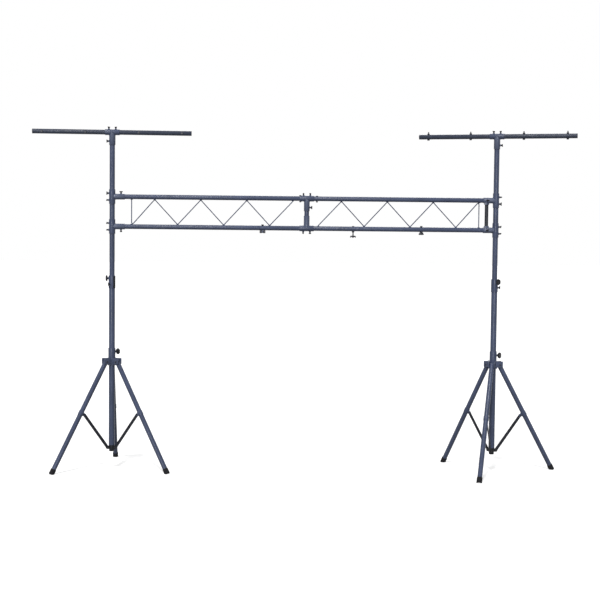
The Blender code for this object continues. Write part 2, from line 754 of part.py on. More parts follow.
def end_brace_mesh():
    """Post between the two connector stems at a mast, with a saddle on each; origin at mid height."""
    stem = CHORD_RADIUS + GAP + SLEEVE_WALL
    half = CHORD_SPACING / 2
    saddle_inner = half - stem - SADDLE_HEIGHT
    adds = [turned([(END_BRACE_RADIUS, -half + stem), (END_BRACE_RADIUS, half - stem)])]
    cuts = []
    for side in (-1, 1):
        middle = side * (saddle_inner + (SADDLE_HEIGHT + SADDLE_REACH) / 2)
        height = SADDLE_HEIGHT + SADDLE_REACH
        adds.append(block(SADDLE_WIDTH, SADDLE_DEPTH, height, (0, 0, middle)))
        reach = SADDLE_WIDTH
        bore = turned([(bored(stem), -reach), (bored(stem), reach)])
        cuts.append(moved(bore, aimed((0, 0, side * half), X_AXIS)))
    return combined(adds, cuts)


def bolt_shank(low, high):
    return turned([(BOLT_RADIUS, low), (BOLT_RADIUS, high)], ROD_SIDES)


def block_bolt_mesh():
    """Lamp bolt with a square block under the chord; Z = 0 is the chord's axis."""
    seat = CHORD_RADIUS + GAP
    middle = -seat - BLOCK_SIZE[2] / 2
    return combined(
        [
            bolt_shank(middle, seat + BOLT_HEAD_HEIGHT / 2),
            hex_head(seat, seat + BOLT_HEAD_HEIGHT),
            block(*BLOCK_SIZE, (0, 0, middle)),
        ]
    )


def hanging_bolt_mesh():
    """Lamp bolt that hangs low, with drooping wings at its end; Z = 0 is the chord's axis."""
    seat = CHORD_RADIUS + GAP
    end = -CHORD_RADIUS - HANGING_BOLT_LENGTH
    width, depth, height = WING_PLATE_SIZE
    wing = [(0.14, 0.3), (0.30, 0.3), (0.42, 0.0), (0.50, 0.3), (0.42, 0.9), (0.16, 1.0)]
    outline = [(x * width, end + z * height) for x, z in wing]
    outline += [(-x, z) for x, z in reversed(outline)]
    return combined(
        [
            bolt_shank(end, seat + LOW_HEAD_HEIGHT / 2),
            hex_head(seat, seat + LOW_HEAD_HEIGHT),
            hex_head(-seat - BOLT_HEAD_HEIGHT, -seat),
            plate(outline, depth),
        ]
    )


def wing_bolt_mesh():
    """Lamp bolt with a wing nut that flares downwards, close under the chord; Z = 0 is the chord's axis."""
    seat = CHORD_RADIUS + GAP
    profile = [
        (WING_NUT_NECK, -seat),
        (WING_NUT_REACH, -seat - WING_NUT_HEIGHT + WING_NUT_CORNER),
        (WING_NUT_REACH - WING_NUT_CORNER, -seat - WING_NUT_HEIGHT),
    ]
    outline = profile + [(-x, z) for x, z in reversed(profile)]
    return combined(
        [
            bolt_shank(-seat - WING_NUT_HEIGHT / 2, seat + BOLT_HEAD_HEIGHT / 2),
            hex_head(seat, seat + BOLT_HEAD_HEIGHT),
            plate(outline, WING_NUT_THICKNESS),
        ]
    )


def make_tripod(stand, frame):
    """Hub with its knob, legs, feet and braces; all hang under the hub at their joints."""
    side = stand["side"]
    first = math.radians(stand["first_leg"])
    hub_place = Matrix.Translation((0, 0, LEG_PIVOT_HEIGHT)) @ spun(first)
    knob_side = spun(math.radians(stand["hub_knob"])) @ aimed((0, 0, HUB_KNOB_RISE), X_AXIS)
    hub = piece(f"{side}_leg_hub", leg_hub_mesh(knob_side), frame, hub_place, SLATE_PAINT)
    knob = star_knob(LOWER_TUBE_RADIUS, HUB_SLEEVE_WALL, HUB_KNOB_PROUD, HUB_KNOB_THICKNESS)
    piece(f"{side}_hub_knob", knob, hub, knob_side, BLACK_PLASTIC)
    plug_place = Matrix.Translation((0, 0, LOWER_TUBE_BOTTOM)) @ spun(first)
    piece(f"{side}_base_plug", base_plug_mesh(), frame, plug_place, BLACK_PLASTIC)
    lean = leg_angle()
    top, foot = brace_top(), brace_foot()
    brace_lean = math.atan2(top[0] - foot[0], top[1] - foot[1])
    for leg in range(3):
        turn = spun(math.tau * leg / 3)
        leg_place = turn @ Matrix.Translation((LEG_PIVOT_RADIUS, 0, 0)) @ spun(-lean, "Y")
        tube = piece(f"{side}_leg_{leg + 1}", leg_mesh(), hub, leg_place, SLATE_PAINT)
        floor_place = Matrix.Translation((0, 0, -leg_length()))
        piece(f"{side}_foot_{leg + 1}", foot_mesh(), tube, floor_place, BLACK_RUBBER)
        clip = Matrix.Translation((-clip_reach(), 0, -BRACE_ON_LEG))
        brace_place = clip @ spun(lean + brace_lean, "Y")
        piece(f"{side}_brace_{leg + 1}", brace_mesh(), tube, brace_place, BLACK_STEEL)


def make_mast(stand, frame):
    """Two telescoping tubes with the collar and its knob."""
    side = stand["side"]
    length = LOWER_TUBE_TOP - LOWER_TUBE_BOTTOM
    lower_mesh = pipe(LOWER_TUBE_RADIUS, bored(UPPER_TUBE_RADIUS), 0, length)
    lower_place = Matrix.Translation((0, 0, LOWER_TUBE_BOTTOM))
    piece(f"{side}_lower_tube", lower_mesh, frame, lower_place, SLATE_PAINT)
    start = LOWER_TUBE_TOP - MAST_OVERLAP
    top = T_BAR_HEIGHT - sleeve_seat(T_BAR_RADIUS) - GAP
    upper_mesh = pipe(UPPER_TUBE_RADIUS, UPPER_TUBE_RADIUS - UPPER_TUBE_WALL, 0, top - start)
    upper_place = Matrix.Translation((0, 0, start))
    piece(f"{side}_upper_tube", upper_mesh, frame, upper_place, SLATE_PAINT)
    collar_place = Matrix.Translation((0, 0, LOWER_TUBE_TOP)) @ spun(math.radians(stand["height_knob"]))
    collar = piece(f"{side}_height_collar", height_collar_mesh(), frame, collar_place, SLATE_PAINT)
    knob = star_knob(UPPER_TUBE_RADIUS, collar_knob_wall(), HEIGHT_KNOB_PROUD, HEIGHT_KNOB_THICKNESS)
    knob_place = aimed((0, 0, COLLAR_KNOB_RISE), X_AXIS)
    piece(f"{side}_height_knob", knob, collar, knob_place, BLACK_PLASTIC)


def make_t_bar(stand, frame):
    """T-connector on the mast's top with its bar and three thumb screws."""
    side = stand["side"]
    stem_screw = Z_AXIS * stand["swivel_screw"]
    places = tee_screw_places(stem_screw, T_BAR_SCREW_TURNS)
    turn = spun(math.radians(stand["bar_yaw"])) @ spun(math.pi / 2, "Y")
    tee_place = Matrix.Translation((0, 0, T_BAR_HEIGHT)) @ turn
    mesh = tee(T_BAR_RADIUS, UPPER_TUBE_RADIUS, places, screws_fixed=False)
    connector = piece(f"{side}_t_bar_tee", mesh, frame, tee_place, SLATE_PAINT)
    roll = spun(math.radians(stand["bar_roll"]))
    piece(f"{side}_t_bar", t_bar_mesh(), connector, roll, SLATE_PAINT)
    names = ("bar_screw_1", "bar_screw_2", "swivel_screw")
    tubes = (T_BAR_RADIUS, T_BAR_RADIUS, UPPER_TUBE_RADIUS)
    for name, tube, place in zip(names, tubes, places):
        screw = combined(thumb_screw(tube, SLEEVE_WALL, tube + GAP))
        piece(f"{side}_{name}", screw, connector, place, BLACK_PLASTIC)


def make_truss(frame):
    """Connectors, chords, webs, middle post, end brace and lamp bolts."""
    top, bottom = TOP_CHORD_HEIGHT, TOP_CHORD_HEIGHT - CHORD_SPACING
    middle = (top + bottom) / 2
    mast_x = MAST_SPACING / 2
    up, down, front = Z_AXIS, -Z_AXIS, Y_AXIS
    mast_tees = (
        ("left_top_mast_tee", -mast_x, top, 0, up, LEFT_TOP_SCREW_TURNS),
        ("left_bottom_mast_tee", -mast_x, bottom, 0, down, LEFT_BOTTOM_SCREW_TURNS),
        ("right_top_mast_tee", mast_x, top, math.pi, front, RIGHT_TOP_SCREW_TURNS),
        ("right_bottom_mast_tee", mast_x, bottom, math.pi, front, RIGHT_BOTTOM_SCREW_TURNS),
    )
    for name, x, height, turn, stem_screw, screw_turns in mast_tees:
        places = tee_screw_places(stem_screw, screw_turns)
        mesh = tee(UPPER_TUBE_RADIUS, CHORD_RADIUS, places, screws_fixed=True)
        place = Matrix.Translation((x, 0, height)) @ spun(turn)
        piece(name, mesh, frame, place, SLATE_PAINT)
    middle_tees = (
        ("mid_top_tee", top, math.pi / 2, Z_AXIS, MID_TOP_SCREW_TURNS),
        ("mid_bottom_tee", bottom, -math.pi / 2, Y_AXIS, MID_BOTTOM_SCREW_TURNS),
    )
    for name, height, turn, stem_screw, screw_turns in middle_tees:
        places = tee_screw_places(stem_screw, screw_turns)
        mesh = tee(CHORD_RADIUS, CHORD_RADIUS, places, screws_fixed=True)
        place = Matrix.Translation((MIDDLE_OFFSET, 0, height)) @ spun(turn, "Y")
        piece(name, mesh, frame, place, SLATE_PAINT)
    half_post = CHORD_SPACING / 2 - sleeve_seat(CHORD_RADIUS) - GAP
    post = pipe(CHORD_RADIUS, CHORD_RADIUS - CHORD_WALL, -half_post, half_post)
    piece("mid_post", post, frame, Matrix.Translation((MIDDLE_OFFSET, 0, middle)), SLATE_PAINT)
    chords = (
        ("left_top_chord", top, -1, ()),
        ("left_bottom_chord", bottom, -1, (-BLOCK_BOLT_PLACE,)),
        ("right_top_chord", top, 1, ()),
        ("right_bottom_chord", bottom, 1, (HANGING_BOLT_PLACE, WING_BOLT_PLACE)),
    )
    for name, height, side, holes in chords:
        turn = spun(math.pi) if side < 0 else Matrix()
        place = Matrix.Translation((MIDDLE_OFFSET, 0, height)) @ turn
        piece(name, chord_mesh(side, holes), frame, place, SLATE_PAINT)
    web_place = Matrix.Translation((MIDDLE_OFFSET / 2, 0, middle))
    piece("right_web", web_mesh(), frame, web_place, SLATE_PAINT)
    piece("left_web", web_mesh(), frame, web_place @ spun(math.pi, "Y"), SLATE_PAINT)
    brace_x = mast_x - STEM_LENGTH + END_BRACE_INSET
    brace_place = Matrix.Translation((brace_x, 0, middle))
    piece("end_brace", end_brace_mesh(), frame, brace_place, BLACK_STEEL)
    bolts = (
        ("block_lamp_bolt", block_bolt_mesh, BLOCK_BOLT_PLACE),
        ("hanging_lamp_bolt", hanging_bolt_mesh, HANGING_BOLT_PLACE),
        ("wing_lamp_bolt", wing_bolt_mesh, WING_BOLT_PLACE),
    )
    for name, make, x in bolts:
        piece(name, make(), frame, Matrix.Translation((MIDDLE_OFFSET + x, 0, bottom)), BLACK_STEEL)


def recentre(frame):
    """Moves the frame so that the origin is on the floor under the middle of the box."""
    bpy.context.view_layer.update()
    corners = [
        part.matrix_world @ vertex.co
        for part in bpy.context.scene.objects
        if part.type == "MESH"
        for vertex in part.data.vertices
    ]
    low = [min(corner[axis] for corner in corners) for axis in range(3)]
    high = [max(corner[axis] for corner in corners) for axis in range(3)]
    frame.location = (-(low[0] + high[0]) / 2, -(low[1] + high[1]) / 2, -low[2])
    bpy.context.view_layer.update()


def main():
    for old in list(bpy.data.objects):
        bpy.data.objects.remove(old)
    frame = empty("lighting_truss", None, Matrix())
    for stand in (LEFT_STAND, RIGHT_STAND):
        mast_x = stand["mast"] * MAST_SPACING / 2
        base = empty(f"{stand['side']}_stand", frame, Matrix.Translation((mast_x, 0, 0)))
        make_mast(stand, base)
        make_tripod(stand, base)
        make_t_bar(stand, base)
    make_truss(frame)
    recentre(frame)


main()
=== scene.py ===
"""Looks of the portable lighting truss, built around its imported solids.

Units are metres and +Z is up. X runs from the left mast to the right one, Y away from the viewer.
Every piece is a mesh made here at its true size, and rides on the body of the solid it stands for.
"""

import math

import bmesh
import bpy
from mathutils import Matrix, Vector


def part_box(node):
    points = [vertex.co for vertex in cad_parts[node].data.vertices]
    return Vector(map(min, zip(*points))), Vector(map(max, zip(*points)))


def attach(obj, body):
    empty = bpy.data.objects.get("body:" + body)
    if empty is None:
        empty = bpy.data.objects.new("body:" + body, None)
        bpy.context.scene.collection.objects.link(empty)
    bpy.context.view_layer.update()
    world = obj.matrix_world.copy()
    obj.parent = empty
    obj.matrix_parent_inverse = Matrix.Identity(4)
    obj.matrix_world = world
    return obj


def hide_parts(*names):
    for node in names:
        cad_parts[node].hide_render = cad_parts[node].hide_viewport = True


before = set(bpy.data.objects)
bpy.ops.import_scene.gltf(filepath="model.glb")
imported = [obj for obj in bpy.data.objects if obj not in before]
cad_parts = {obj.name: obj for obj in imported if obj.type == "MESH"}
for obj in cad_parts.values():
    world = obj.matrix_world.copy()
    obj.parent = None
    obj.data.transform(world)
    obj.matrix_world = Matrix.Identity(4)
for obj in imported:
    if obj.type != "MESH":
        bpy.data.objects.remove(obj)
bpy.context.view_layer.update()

# Fits and facets
GAP = 0.0003
SIDE_PLAY = 0.0005
TUBE_SIDES = 48
SMALL_SIDES = 24
ROD_SIDES = 20
HAIR = 0.0002
LIP = 0.0006
EDGE = 0.0009
ROUNDING = 0.001
SMOOTH_ANGLE = math.radians(32)

# Layout, heights above the floor
MAST_SPACING = 3.048
T_BAR_HEIGHT = 2.678
TOP_CHORD_HEIGHT = 2.171
CHORD_SPACING = 0.236
MIDDLE_OFFSET = 0.0193
LOWER_TUBE_TOP = 1.4935
LOWER_TUBE_BOTTOM = 0.189
LEG_PIVOT_HEIGHT = 0.858
MAST_OVERLAP = 0.200

# Tubes, by outer radius and wall
LOWER_RADIUS = 0.024
UPPER_RADIUS = 0.021
CHORD_RADIUS = 0.019
T_BAR_RADIUS = 0.019
T_BAR_LENGTH = 1.250
LEG_RADIUS = 0.019
TUBE_WALL = 0.002

# T-connectors
SLEEVE_WALL = 0.0037
RUN_LENGTH = 0.115
STEM_LENGTH = 0.100
STEM_SEAT = 0.0028
RUN_SCREW_SPREAD = 0.054
STEM_SCREW_PLACE = 0.070
STEM_SINK = 0.0006

# Weld beads
TEE_WELD = 0.0019
NUT_WELD = 0.0012
HUB_WELD = 0.0020
WEB_WELD = 0.0024
POST_WELD = 0.0016
WELD_STEP = 0.0022
WELD_RIPPLE = 0.16
BEAD_SIDES = 8

# Thumb screws and their welded nuts
THREAD_RADIUS = 0.004
THREAD_PITCH = 0.0014
NUT_RADIUS = 0.0085
NUT_HEIGHT = 0.006
BARREL_RADIUS = 0.0062
SCREW_PROUD = 0.022
PADDLE_WIDTH = 0.026
PADDLE_HEIGHT = 0.012
PADDLE_THICKNESS = 0.009
PADDLE_CORNER = 0.0028
PADDLE_EDGE = 0.0024
PADDLE_DIP = 0.0012
PADDLE_RIB_PITCH = 0.0036
PADDLE_RIB_WIDTH = 0.0011
PADDLE_RIB_PROUD = 0.0006

# Star knobs; dish and cap by radius and depth under the face
STAR_RADIUS = 0.024
STAR_LOBES = 6
STAR_LOBE_DEPTH = 0.0022
STAR_NECK = 0.009
STUD_RADIUS = 0.005
STAR_EDGE = 0.003
STAR_DISH = ((0.0128, 0), (0.0120, 0.0003), (0.0112, 0.0013), (0.0098, 0.0016))
STAR_CAP = ((0.0092, 0.0030), (0.0092, 0.0012), (0.0080, 0.0005), (0.0045, 0.0002), (0.001, 0.0001))
HEIGHT_KNOB = {"proud": 0.0215, "thickness": 0.012}
HUB_KNOB = {"proud": 0.034, "thickness": 0.017}

# Height collar; its bead by depth and rise
COLLAR_WALL = 0.003
COLLAR_GRIP = 0.0495
COLLAR_HEAD = 0.0515
COLLAR_KNOB_RISE = 0.0305
COLLAR_RADIUS = LOWER_RADIUS + GAP + COLLAR_WALL
COLLAR_HEAD_WALL = COLLAR_RADIUS - UPPER_RADIUS - GAP
COLLAR_SCREW_DROP = 0.0155
COLLAR_SCREW_TURN = 60
COLLAR_BEAD_PLACES = (0.006 - COLLAR_GRIP, COLLAR_HEAD - 0.008)
COLLAR_BEAD = ((0, 0), (0.0008, 0.0006), (0.0008, 0.0014), (0, 0.002))
# Dark strip laid on the collar as painted shade: its turn from the knob, its spread and its ends
SHADE_STRIP_TURN = 146
SHADE_STRIP_SPREAD = 56
SHADE_STRIP_ENDS = (0.004 - COLLAR_GRIP, COLLAR_HEAD - 0.003)

# Leg hub
HUB_SLEEVE_WALL = 0.004
HUB_RADIUS = LOWER_RADIUS + GAP + HUB_SLEEVE_WALL
HUB_SLEEVE_RISE = 0.110
ARM_RISE = 0.030
ARM_DROP = 0.019
LEG_PIVOT_RADIUS = 0.052
ARM_LIP = 0.005
ARM_CHEEK = 0.005
ARM_CORNER = 0.006
HUB_KNOB_RISE = 0.080
RIVET_RADIUS = 0.0072
RIVET_HEIGHT = 0.0021
RIVET_STEP = 0.78
RIVET_DOME = 0.72

# Legs, feet and braces; foot rings by depth and height, the dish by share of the radius
FOOT_RADIUS_ON_FLOOR = 0.520
LEG_TOP = 0.012
LEG_CAP_DEPTH = 0.012
FOOT_LENGTH = 0.045
FOOT_WALL = 0.003
FOOT_SOLE = 0.009
FOOT_TIP = 0.001
FOOT_RIBS = 3
FOOT_RIB_PITCH = 0.0075
FOOT_FIRST_RIB = 0.006
FOOT_RIB = ((0, 0), (0.0009, 0.0012), (0.0009, 0.0034), (0, 0.0046))
FOOT_DISH = ((0.55, 0.0016), (0.62, 0))
FOOT_SOLE_RIM = ((0.0014, 0), (0.0003, 0.0007), (0, 0.0022))
FOOT_MOUTH = ((0, 0.002), (0.0008, 0.0006), (0.002, 0))
BRACE_WIDTH = 0.024
BRACE_THICKNESS = 0.006
BRACE_HALF_SLOT = BRACE_THICKNESS / 2 + SIDE_PLAY
BRACE_ON_LEG = 0.450
CLIP_WALL = 0.0025
CLIP_LENGTH = 0.034

# Base plug; its dish by radius and rise
PLUG_FLANGE = 0.016
PLUG_LENGTH = 0.051
PLUG_SPIGOT = 0.010
PLUG_DISH = ((0.004, 0.0012), (0.008, 0))
BRACE_FOOT_DROP = 0.0185
BRACE_FOOT_CLEARANCE = 0.0035
EAR_THICKNESS = 0.004
EAR_EDGE = 0.0008

# Webs, end brace and lamp bolts
WEB_ROD_RADIUS = 0.004
WEB_BEND_RADIUS = 0.009
WEB_BAYS = 7
WEB_MARGIN = 0.0444
WEB_BEND_STEPS = 8
WEB_WELD_LENGTH = 0.018
WEB_WELD_SINK = 0.0016
END_BRACE_RADIUS = 0.0145
END_BRACE_INSET = 0.026
SADDLE_WIDTH = 0.036
SADDLE_DEPTH = 0.040
SADDLE_HEIGHT = 0.010
SADDLE_REACH = 0.006
BOLT_RADIUS = 0.005
BOLT_HEAD_RADIUS = 0.0105
BOLT_HEAD_HEIGHT = 0.009
LOW_HEAD_HEIGHT = 0.003
WASHER_THICKNESS = 0.0012
BOLT_SINK = 0.0008
T_BAR_BOLT_PLACES = (-0.55, -0.21, 0.21, 0.55)
T_BAR_BOLT_STUB = 0.012
T_BAR_CAP = 0.002
T_BAR_CAP_DEPTH = 0.015
BLOCK_BOLT_PLACE = -0.350
HANGING_BOLT_PLACE = 0.370
WING_BOLT_PLACE = 0.913
HANGING_BOLT_LENGTH = 0.052
BLOCK_SIZE = (0.046, 0.029, 0.022)
BLOCK_SLOT = 0.009
BLOCK_INSET = 0.002
WING_PLATE_SIZE = (0.048, 0.0105, 0.018)
WING_SHAPE = ((0.14, 0.3), (0.30, 0.3), (0.42, 0.0), (0.50, 0.3), (0.42, 0.9), (0.16, 1.0))
WING_HUB_RADIUS = 0.0072
WING_HUB_RISE = 0.003
WING_CORNER = 0.003
WING_EDGE = 0.0018
WING_NUT_NECK = 0.0110
WING_NUT_REACH = 0.0215
WING_NUT_HEIGHT = 0.0235
WING_NUT_CORNER = 0.0035
WING_NUT_THICKNESS = 0.012
WING_NUT_HUB = (0.0078, 0.0095)
JOINT_BOLT_STUBS = {-0.052: 0.003, 0.080: 0.008}
JOINT_HEAD_HEIGHT = 0.0045

# How the stands are turned, in degrees about +Z; the hub's knob counts from the first leg
STANDS = (
    {"side": "left", "first_leg": 94, "hub_knob": -60, "height_knob": 180,
     "bar_yaw": 4, "bar_roll": 90, "swivel": -1},
    {"side": "right", "first_leg": 11, "hub_knob": -41, "height_knob": -55,
     "bar_yaw": -16, "bar_roll": 180, "swivel": 1},
)
T_BAR_SCREW_TURNS = (60, -55, 50)

# Camera, measured from the middle of the truss on the floor, with its angles in degrees
PHOTO_WIDTH = 600
FOCAL_PIXELS = 1287.6
SENSOR_WIDTH = 36.0
CAMERA_PLACE = (-0.1487, -10.2518, 1.9359)
CAMERA_YAW = 0.68
CAMERA_PITCH = 3.19
CAMERA_ROLL = 0.59

# Light: suns by strength, spread, elevation and azimuth; the world as light, and the floor
SUNS = {"key": (2.4, 8, 54, -14), "front": (1.5, 16, 4, -8), "back": (1.1, 40, 30, 165)}
WORLD_LEVEL = 0.16
FLOOR_REACH = 60
FLOOR_DROP = 0.0005
FLOOR_COLOUR = 0.7
FLOOR_BOUNCE = 0.05
FLOOR_GLOW = 0.6

# Linear colours
SLATE = (0.054, 0.069, 0.124)
SLATE_WORN = (0.130, 0.152, 0.215)
# Slate darkened as painted shade for the T-bars, standing in for the lower light on them
SHADED_SLATE = (0.032, 0.040, 0.064)
BLACK_ENAMEL = (0.012, 0.013, 0.019)
BLACK_ENAMEL_WORN = (0.045, 0.050, 0.060)
BLACK_NYLON = (0.011, 0.012, 0.015)
BLACK_RUBBER = (0.010, 0.010, 0.012)
BLACKENED_STEEL = (0.028, 0.029, 0.034)

# The mix node's sockets for colours
MIX_FIRST, MIX_SECOND, MIX_RESULT = 6, 7, 2

X_AXIS = Vector((1, 0, 0))
Y_AXIS = Vector((0, 1, 0))
Z_AXIS = Vector((0, 0, 1))


# Shapes: each is a list of points and a list of faces


def loft(rings, closed=False):
    """Skin through rings of equal count, with end faces unless the rings close on themselves."""
    count = len(rings[0])
    points = [Vector(point) for points in rings for point in points]
    faces = []
    for row in range(len(rings) if closed else len(rings) - 1):
        near, far = row * count, (row + 1) % len(rings) * count
        for step in range(count):
            after = (step + 1) % count
            faces.append((near + step, near + after, far + after, far + step))
    if not closed:
        faces += [tuple(range(count)), tuple(range(len(points) - count, len(points)))]
    return points, faces


def together(*shapes):
    points, faces = [], []
    for more_points, more_faces in shapes:
        start = len(points)
        points += more_points
        faces += [tuple(start + corner for corner in face) for face in more_faces]
    return points, faces


def placed(shape, place):
    points, faces = shape
    return [place @ point for point in points], faces


def spun(degrees, axis="Z"):
    return Matrix.Rotation(math.radians(degrees), 4, axis)


def shifted(x=0, y=0, z=0):
    return Matrix.Translation((x, y, z))


def aimed(origin, direction, spin=0.0):
    """Placement that puts local Z along the direction, after a spin in degrees about it."""
    turn = Z_AXIS.rotation_difference(Vector(direction)).to_matrix().to_4x4()
    return shifted(*origin) @ turn @ spun(spin)


def ring(radius, height, sides=TUBE_SIDES):
    """Points round the Z axis; radius may be a function of the angle."""
    points = []
    for step in range(sides):
        angle = math.tau * (step + 0.5) / sides
        reach = radius(angle) if callable(radius) else radius
        points.append(Vector((reach * math.cos(angle), reach * math.sin(angle), height)))
    return points


def softened(outline, radius, steps=3, closed=True):
    """Outline of 2-D points with its corners rounded."""
    corners = [Vector(point) for point in outline]
    soft = []
    for number, corner in enumerate(corners):
        back = corners[number - 1] - corner
        ahead = corners[(number + 1) % len(corners)] - corner
        at_end = not closed and number in (0, len(corners) - 1)
        if at_end or back.angle(ahead) > 3:
            soft.append(corner)
            continue
        cut = radius / math.tan(back.angle(ahead) / 2)
        cut = min(cut, 0.48 * back.length, 0.48 * ahead.length)
        start, end = corner + back.normalized() * cut, corner + ahead.normalized() * cut
        for step in range(steps + 1):
            part = step / steps
            soft.append(start * (1 - part) ** 2 + corner * 2 * part * (1 - part) + end * part**2)
    return soft


def lathe(profile, soft=0.0, closed=False, sides=TUBE_SIDES):
    """Turned body from (radius, height) pairs, with corners rounded by the soft radius."""
    if soft:
        profile = softened(profile, soft, closed=closed)
    return loft([ring(radius, height, sides) for radius, height in profile], closed)


def tube(radius, wall, low, high, soft=LIP):
    inner = radius - wall
    return lathe([(radius, low), (radius, high), (inner, high), (inner, low)], soft, closed=True)


def inset(outline, depth):
    """Counter-clockwise outline moved inwards by a depth."""
    moved = []
    for number, point in enumerate(outline):
        before = (point - outline[number - 1]).normalized()
        after = (outline[(number + 1) % len(outline)] - point).normalized()
        inwards = Vector((-before.y - after.y, before.x + after.x)).normalized()
        stretch = max(inwards.dot(Vector((-before.y, before.x))), 0.5)
        moved.append(point + inwards * depth / stretch)
    return moved


def plate(outline, thickness, edge, middle=0.0):
    """Outline in X and Z as a plate across Y, with rounded edges."""
    half = thickness / 2
    rows = []
    for side in (-1, 1):
        levels = [(edge, half), (edge * 0.3, half - edge * 0.3), (0, half - edge)]
        for depth, reach in levels if side < 0 else reversed(levels):
            row = inset(outline, depth)
            rows.append([Vector((p.x, middle + side * reach, p.y)) for p in row])
    return loft(rows)


def plates(outline, thickness, edge, half_slot):
    """Two plates, one on each side of a slot."""
    middle = half_slot + thickness / 2
    return together(*[plate(outline, thickness, edge, side * middle) for side in (-1, 1)])


def mirrored(half):
    """Outline from its right half."""
    return half + [(-x, z) for x, z in reversed(half)]


def block(size, centre, corner=0.002):
    """Box with rounded edges."""
    outline = softened(mirrored([(size[0] / 2, -size[2] / 2), (size[0] / 2, size[2] / 2)]), corner)
    return placed(plate(outline, size[1], corner / 2), shifted(*centre))


def arc(centre, radius, start, end, steps=8):
    """2-D points along an arc, with angles in degrees from +X towards +Z."""
    angles = [math.radians(start + (end - start) * step / steps) for step in range(steps + 1)]
    return [Vector(centre) + radius * Vector((math.cos(a), math.sin(a))) for a in angles]


def hexagon(reach, low, high):
    """Hexagonal nut or head with chamfered corners."""
    flat = reach * math.cos(math.pi / 6)

    def edge(angle):
        return flat / math.cos((angle + math.pi / 6) % (math.pi / 3) - math.pi / 6)

    def corner_row(height, lean):
        row = ring(edge, height)
        for point in row:
            point.z += lean * (math.hypot(point.x, point.y) - flat) * 0.6
        return row

    face = flat * 0.97
    return loft([ring(face, low), corner_row(low, 1), corner_row(high, -1), ring(face, high)])


def thread(radius, low, high):
    """Screw thread with a helical groove."""
    rows = []
    steps = max(2, round((high - low) / THREAD_PITCH * 4))
    for row in range(steps + 1):
        height = low + (high - low) * row / steps

        def groove(angle, height=height):
            phase = (height / THREAD_PITCH + angle / math.tau) % 1
            return radius - THREAD_PITCH * 0.5 * (1 - abs(2 * phase - 1))

        rows.append(ring(groove, height, SMALL_SIDES))
    return loft(rows)


def bead(path, radius, closed=False):
    """Weld bead along a path of points, with the ripples of its pools."""
    rows = []
    count = len(path)
    for number, point in enumerate(path):
        before = path[number - 1] if closed or number else point
        after = path[(number + 1) % count] if closed or number < count - 1 else point
        along = (after - before).normalized()
        side = along.orthogonal() if abs(along.z) > 0.99 else along.cross(Z_AXIS)
        side.normalize()
        up = side.cross(along)
        swell = radius * (1 + WELD_RIPPLE * (number % 2 * 2 - 1))
        if not closed and number in (0, count - 1):
            swell = radius * 0.4
        angles = [math.tau * step / BEAD_SIDES for step in range(BEAD_SIDES)]
        rows.append([point + (side * math.cos(a) + up * math.sin(a)) * swell for a in angles])
    return loft(rows, closed)


def straight_bead(start, end, radius):
    start, end = Vector(start), Vector(end)
    steps = max(3, round((end - start).length / WELD_STEP))
    return bead([start.lerp(end, step / steps) for step in range(steps + 1)], radius)


def round_bead(radius, height, bead_radius):
    steps = 2 * round(math.pi * radius / WELD_STEP)
    return bead(ring(radius, height, steps), bead_radius, closed=True)


def rivet(half_width, place):
    """Domed heads with their washers on both faces of a fork."""
    rim = half_width + LIP
    dome = [(RIVET_RADIUS, half_width - SIDE_PLAY), (RIVET_RADIUS, rim)]
    dome.append((RIVET_RADIUS * RIVET_STEP, rim))
    for lean in (15, 45, 70, 84):
        angle = math.radians(lean)
        rise = RIVET_HEIGHT * math.sin(angle)
        dome.append((RIVET_RADIUS * RIVET_DOME * math.cos(angle), half_width + rise))
    head = lathe(dome, sides=SMALL_SIDES)
    return together(*[placed(head, place @ spun(turn, "X")) for turn in (0, 180)])


# Materials


def feed(node, inputs):
    """Set inputs of a node, each to a value or from another node's output."""
    for name, value in inputs.items():
        if isinstance(value, bpy.types.NodeSocket):
            node.id_data.links.new(value, node.inputs[name])
        else:
            node.inputs[name].default_value = value


def new_node(tree, kind, inputs):
    node = tree.nodes.new(f"ShaderNode{kind}")
    feed(node, inputs)
    return node


def new_material(name, colour, roughness, metallic, specular=0.5):
    material = bpy.data.materials.new(name)
    material.use_nodes = True
    tree = material.node_tree
    shader = tree.nodes["Principled BSDF"]
    feed(shader, {"Base Color": (*colour, 1), "Roughness": roughness})
    feed(shader, {"Metallic": metallic, "Specular IOR Level": specular})
    return material, tree, shader


def noise(tree, scale, detail, stretch=(1, 1, 1)):
    """Noise in the piece's own coordinates."""
    place = new_node(tree, "TexCoord", {}).outputs["Object"]
    place = new_node(tree, "Mapping", {"Vector": place, "Scale": stretch}).outputs["Vector"]
    inputs = {"Vector": place, "Scale": scale, "Detail": detail}
    return new_node(tree, "TexNoise", inputs).outputs["Fac"]


def grey(level):
    return (level, level, level)


def ramp(tree, value, low, high):
    """Value spread between two stops of (position, level)."""
    node = new_node(tree, "ValToRGB", {"Fac": value})
    for element, (position, level) in zip(node.color_ramp.elements, (low, high)):
        element.position = position
        element.color = (*grey(level), 1)
    return node.outputs["Color"]


def mixed(tree, factor, first, second):
    """Mix of two colours, or of two colour outputs."""
    node = new_node(tree, "Mix", {"Factor": factor})
    node.data_type = "RGBA"
    first, second = ((*c, 1) if isinstance(c, tuple) else c for c in (first, second))
    feed(node, {MIX_FIRST: first, MIX_SECOND: second})
    return node.outputs[MIX_RESULT]


def surface(tree, shader, base, gloss, levels, grain, strength, depth):
    """Colour, gloss that varies between two levels of roughness, and a fine grain."""
    rough = ramp(tree, gloss, (0.3, levels[0]), (0.7, levels[1]))
    bump = new_node(tree, "Bump", {"Height": grain, "Strength": strength, "Distance": depth})
    feed(shader, {"Base Color": base, "Roughness": rough, "Normal": bump.outputs["Normal"]})


